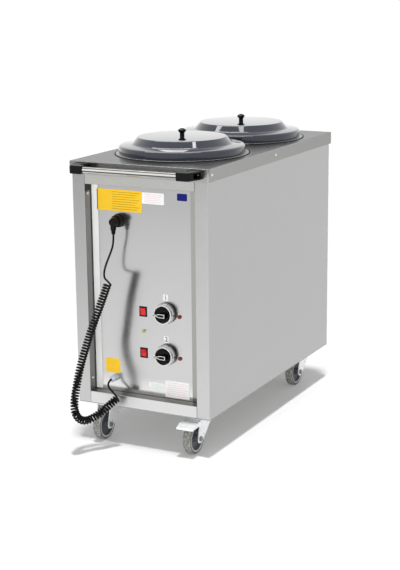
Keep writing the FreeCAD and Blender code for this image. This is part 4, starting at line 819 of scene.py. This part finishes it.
# Tags on the control panel: bare films with plain ruled lines, and a plain number over each dial
tagSet = {
    "panelEdge": {"x": (-189, -167), "z": (166, 826), "film": whiteFilm},
    "wideYellow": {"x": (-170, -11), "z": (745, 812), "film": yellowFilm, "rules": 8, "ruleFrom": 0.34,
                   "ink": inks["ochre"]},
    "upperWhite": {"x": (-10, 66), "z": (775, 810), "film": whiteFilm, "rules": 5, "ruleFrom": 0.12,
                   "ink": inks["paleRed"]},
    "smallBlue": {"x": (111, 145), "z": (792, 814), "film": blueFilm},
    "glandYellow": {"x": (-153, -101), "z": (223, 270), "film": yellowFilm},
    "lowerWhiteStrip": {"x": (2, 57), "z": (191, 210), "film": whiteFilm, "rules": 2, "ruleFrom": 0.12,
                        "ink": inks["paleGreen"]},
    "lowerWhite": {"x": (60, 145), "z": (168, 222), "film": whiteFilm, "rules": 7, "ruleFrom": 0.1,
                   "ink": inks["paleRed"]},
    "upperNumber": {"x": (57.5, 75), "z": (476.5, 497), "film": whiteFilm, "number": "1"},
    "lowerNumber": {"x": (58.5, 75), "z": (343.5, 364), "film": whiteFilm, "number": "2"},
}
# Rules end at one of a few margins in turn; a digit is as high as its share of the type size
filmSet = {"thick": 0.35, "corner": 2.5, "cornerSteps": 4, "ruleThick": 1.0, "ruleMargin": 0.05,
           "margins": 3, "ruleHigh": 0.08, "numberHigh": 15, "digitShare": 0.7}


def addFilm(left, right, bottom, top, behind, thick, corner):
    # A thin plate facing the front, its corners rounded; sizes in millimetres, behind is its back's depth
    film = addPlate(((left + right) / 2 * mm, panelY - behind * mm, (bottom + top) / 2 * mm),
                    (right - left, top - bottom), facingFront)
    bpy.ops.object.mode_set(mode="EDIT")
    bpy.ops.mesh.select_all(action="SELECT")
    if corner:
        bpy.ops.mesh.bevel(offset=corner * mm, segments=filmSet["cornerSteps"], affect="VERTICES")
        bpy.ops.mesh.select_all(action="SELECT")
    extrude((0, -thick * mm, 0))
    closeMesh()
    return film


def addRules(name, spec, film):
    (left, right), (bottom, top) = spec["x"], spec["z"]
    gap = (top - bottom) / (spec["rules"] + 1)
    start = left + (right - left) * spec["ruleFrom"]
    margin = (right - left) * film["ruleMargin"]
    half = film["ruleThick"] / 2
    rules = []
    for i in range(spec["rules"]):
        height = top - gap * (i + 1)
        end = right - margin * (1 + i % film["margins"])
        rules.append(addFilm(start, end, height - half, height + half, film["thick"], film["ruleHigh"], 0))
    settle(joinPieces(rules), f"{name}Rules", "cabinet", spec["ink"])


def addDigit(name, spec, film):
    (left, right), (bottom, top) = spec["x"], spec["z"]
    deselectAll()
    bpy.ops.object.text_add()
    digit = bpy.context.object
    digit.data.body = spec["number"]
    digit.data.size = film["numberHigh"] / film["digitShare"] * mm
    digit.data.align_x = "CENTER"
    digit.data.align_y = "CENTER"
    digit.data.extrude = film["ruleHigh"] * mm
    bpy.ops.object.convert(target="MESH")
    digit = bpy.context.object
    digit.rotation_euler = facingFront
    moveTo(digit, ((left + right) / 2 * mm, panelY - film["thick"] * mm, (bottom + top) / 2 * mm))
    settle(digit, f"{name}Digit", "cabinet", inks["black"])


for tagName, tagSpec in tagSet.items():
    tag = addFilm(*tagSpec["x"], *tagSpec["z"], 0, filmSet["thick"], filmSet["corner"])
    settle(tag, f"{tagName}Tag", "cabinet", tagSpec["film"])
    if "rules" in tagSpec:
        addRules(tagName, tagSpec, filmSet)
    if "number" in tagSpec:
        addDigit(tagName, tagSpec, filmSet)
print("tags stuck on:", len(tagSet))


# Plug relief: a ribbed sleeve where the cord leaves the plug
reliefSet = {"x": -89, "y": -451, "ribs": 5, "rise": 2.9, "top": 7.4, "taper": 0.35, "groove": 0.9,
             "slope": 0.6, "gap": 0.3, "edge": 0.25, "edgeSteps": 2, "bore": 3.4, "segments": 48}


def addRelief(spec):
    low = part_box("plug")[0]
    corners = [(spec["bore"], 0, 0)]
    for i in range(spec["ribs"]):
        wide = spec["top"] - spec["taper"] * (spec["ribs"] - 1 - i)
        narrow = wide - spec["groove"]
        bottom = i * spec["rise"]
        top = bottom + spec["rise"] - spec["gap"]
        corners += [(narrow, bottom, 0), (wide, bottom + spec["slope"], spec["edge"]),
                    (wide, top - spec["slope"], spec["edge"]), (narrow, top, 0)]
    corners.append((spec["bore"], top, 0))
    sleeve = turnRing(corners, spec["edgeSteps"], spec["segments"])
    moveTo(sleeve, (spec["x"] * mm, spec["y"] * mm, low.z))
    settle(sleeve, "plugReliefRibs", "cabinet", blackPlastic)


addRelief(reliefSet)
print("plug relief ribbed")


# Stage: white floor and surroundings, a high sun for the shadow under the cabinet, strip lamps for the lids.
# A lamp is its place, its aim, its two sizes and its watts.
stageSet = {"floorSize": 200, "floorTint": "#E9E9E9", "floorRough": 0.9, "floorGlow": 0.145, "world": 0.38,
            "sun": {"place": (0, -0.3, 4), "strength": 2.15, "angle": 5, "tilt": (5, 3.5)},
            "strips": {"overLids": ((-0.67, 0.1, 3.33), (-0.67, 0.11, 0.9), (2.2, 0.9), 44),
                       "rightOfLids": ((0.92, -0.25, 3.33), (0.92, -0.24, 0.9), (0.14, 0.4), 2)},
            "fill": ((1.6, -5.0, 0.7), (0, -0.3, 0.5), (3, 1.2), 125)}


def addSeen(tree, unseen, seen, socket):
    # One strength for rays that see the backdrop, another for the light that it gives
    path = addNode(tree, "ShaderNodeLightPath")
    ray = path.outputs["Is Camera Ray"]
    for kind in ("Is Glossy Ray", "Is Transmission Ray"):
        ray = addNode(tree, "ShaderNodeMath", {0: ray, 1: path.outputs[kind]}, operation="MAXIMUM").outputs[0]
    strength = addNode(tree, "ShaderNodeMapRange", {
        "Value": ray, "To Min": unseen, "To Max": seen}).outputs[0]
    tree.links.new(strength, socket)


def addFloor(spec):
    deselectAll()
    bpy.ops.mesh.primitive_plane_add(size=spec["floorSize"])
    floor = bpy.context.object
    floor.name = "paleFloor"
    material, tree, shader = newMaterial("paleFloorPaint", {
        "Roughness": spec["floorRough"], "Specular IOR Level": 0, "Base Color": colour(spec["floorTint"]),
        "Emission Color": white})
    addSeen(tree, 0, spec["floorGlow"], shader.inputs["Emission Strength"])
    floor.data.materials.append(material)


def addLights(spec):
    world = bpy.data.worlds.new("whiteStudio")
    scene.world = world
    world.use_nodes = True
    backdrop = world.node_tree.nodes["Background"]
    backdrop.inputs["Color"].default_value = white
    addSeen(world.node_tree, spec["world"], 1, backdrop.inputs["Strength"])
    bpy.ops.object.light_add(type="SUN", location=spec["sun"]["place"])
    sun = bpy.context.object
    sun.name = "highSun"
    sun.data.energy = spec["sun"]["strength"]
    sun.data.angle = math.radians(spec["sun"]["angle"])
    sun.rotation_euler = (*(math.radians(tilt) for tilt in spec["sun"]["tilt"]), 0)
    sun.visible_glossy = False
    lamps = dict(spec["strips"], frontFill=spec["fill"])
    for name, (place, aim, size, watts) in lamps.items():
        bpy.ops.object.light_add(type="AREA", location=place)
        lamp = bpy.context.object
        lamp.name = name + "Lamp"
        lamp.data.shape = "RECTANGLE"
        lamp.data.size, lamp.data.size_y = size
        lamp.data.energy = watts
        lamp.visible_camera = False
        lamp.visible_glossy = name in spec["strips"]
        lamp.visible_diffuse = name not in spec["strips"]  # the strips only draw highlights
        lamp.rotation_euler = (Vector(aim) - Vector(place)).to_track_quat("-Z", "Y").to_euler()


addFloor(stageSet)
addLights(stageSet)
scene.view_settings.view_transform = "Standard"
print("stage lit")
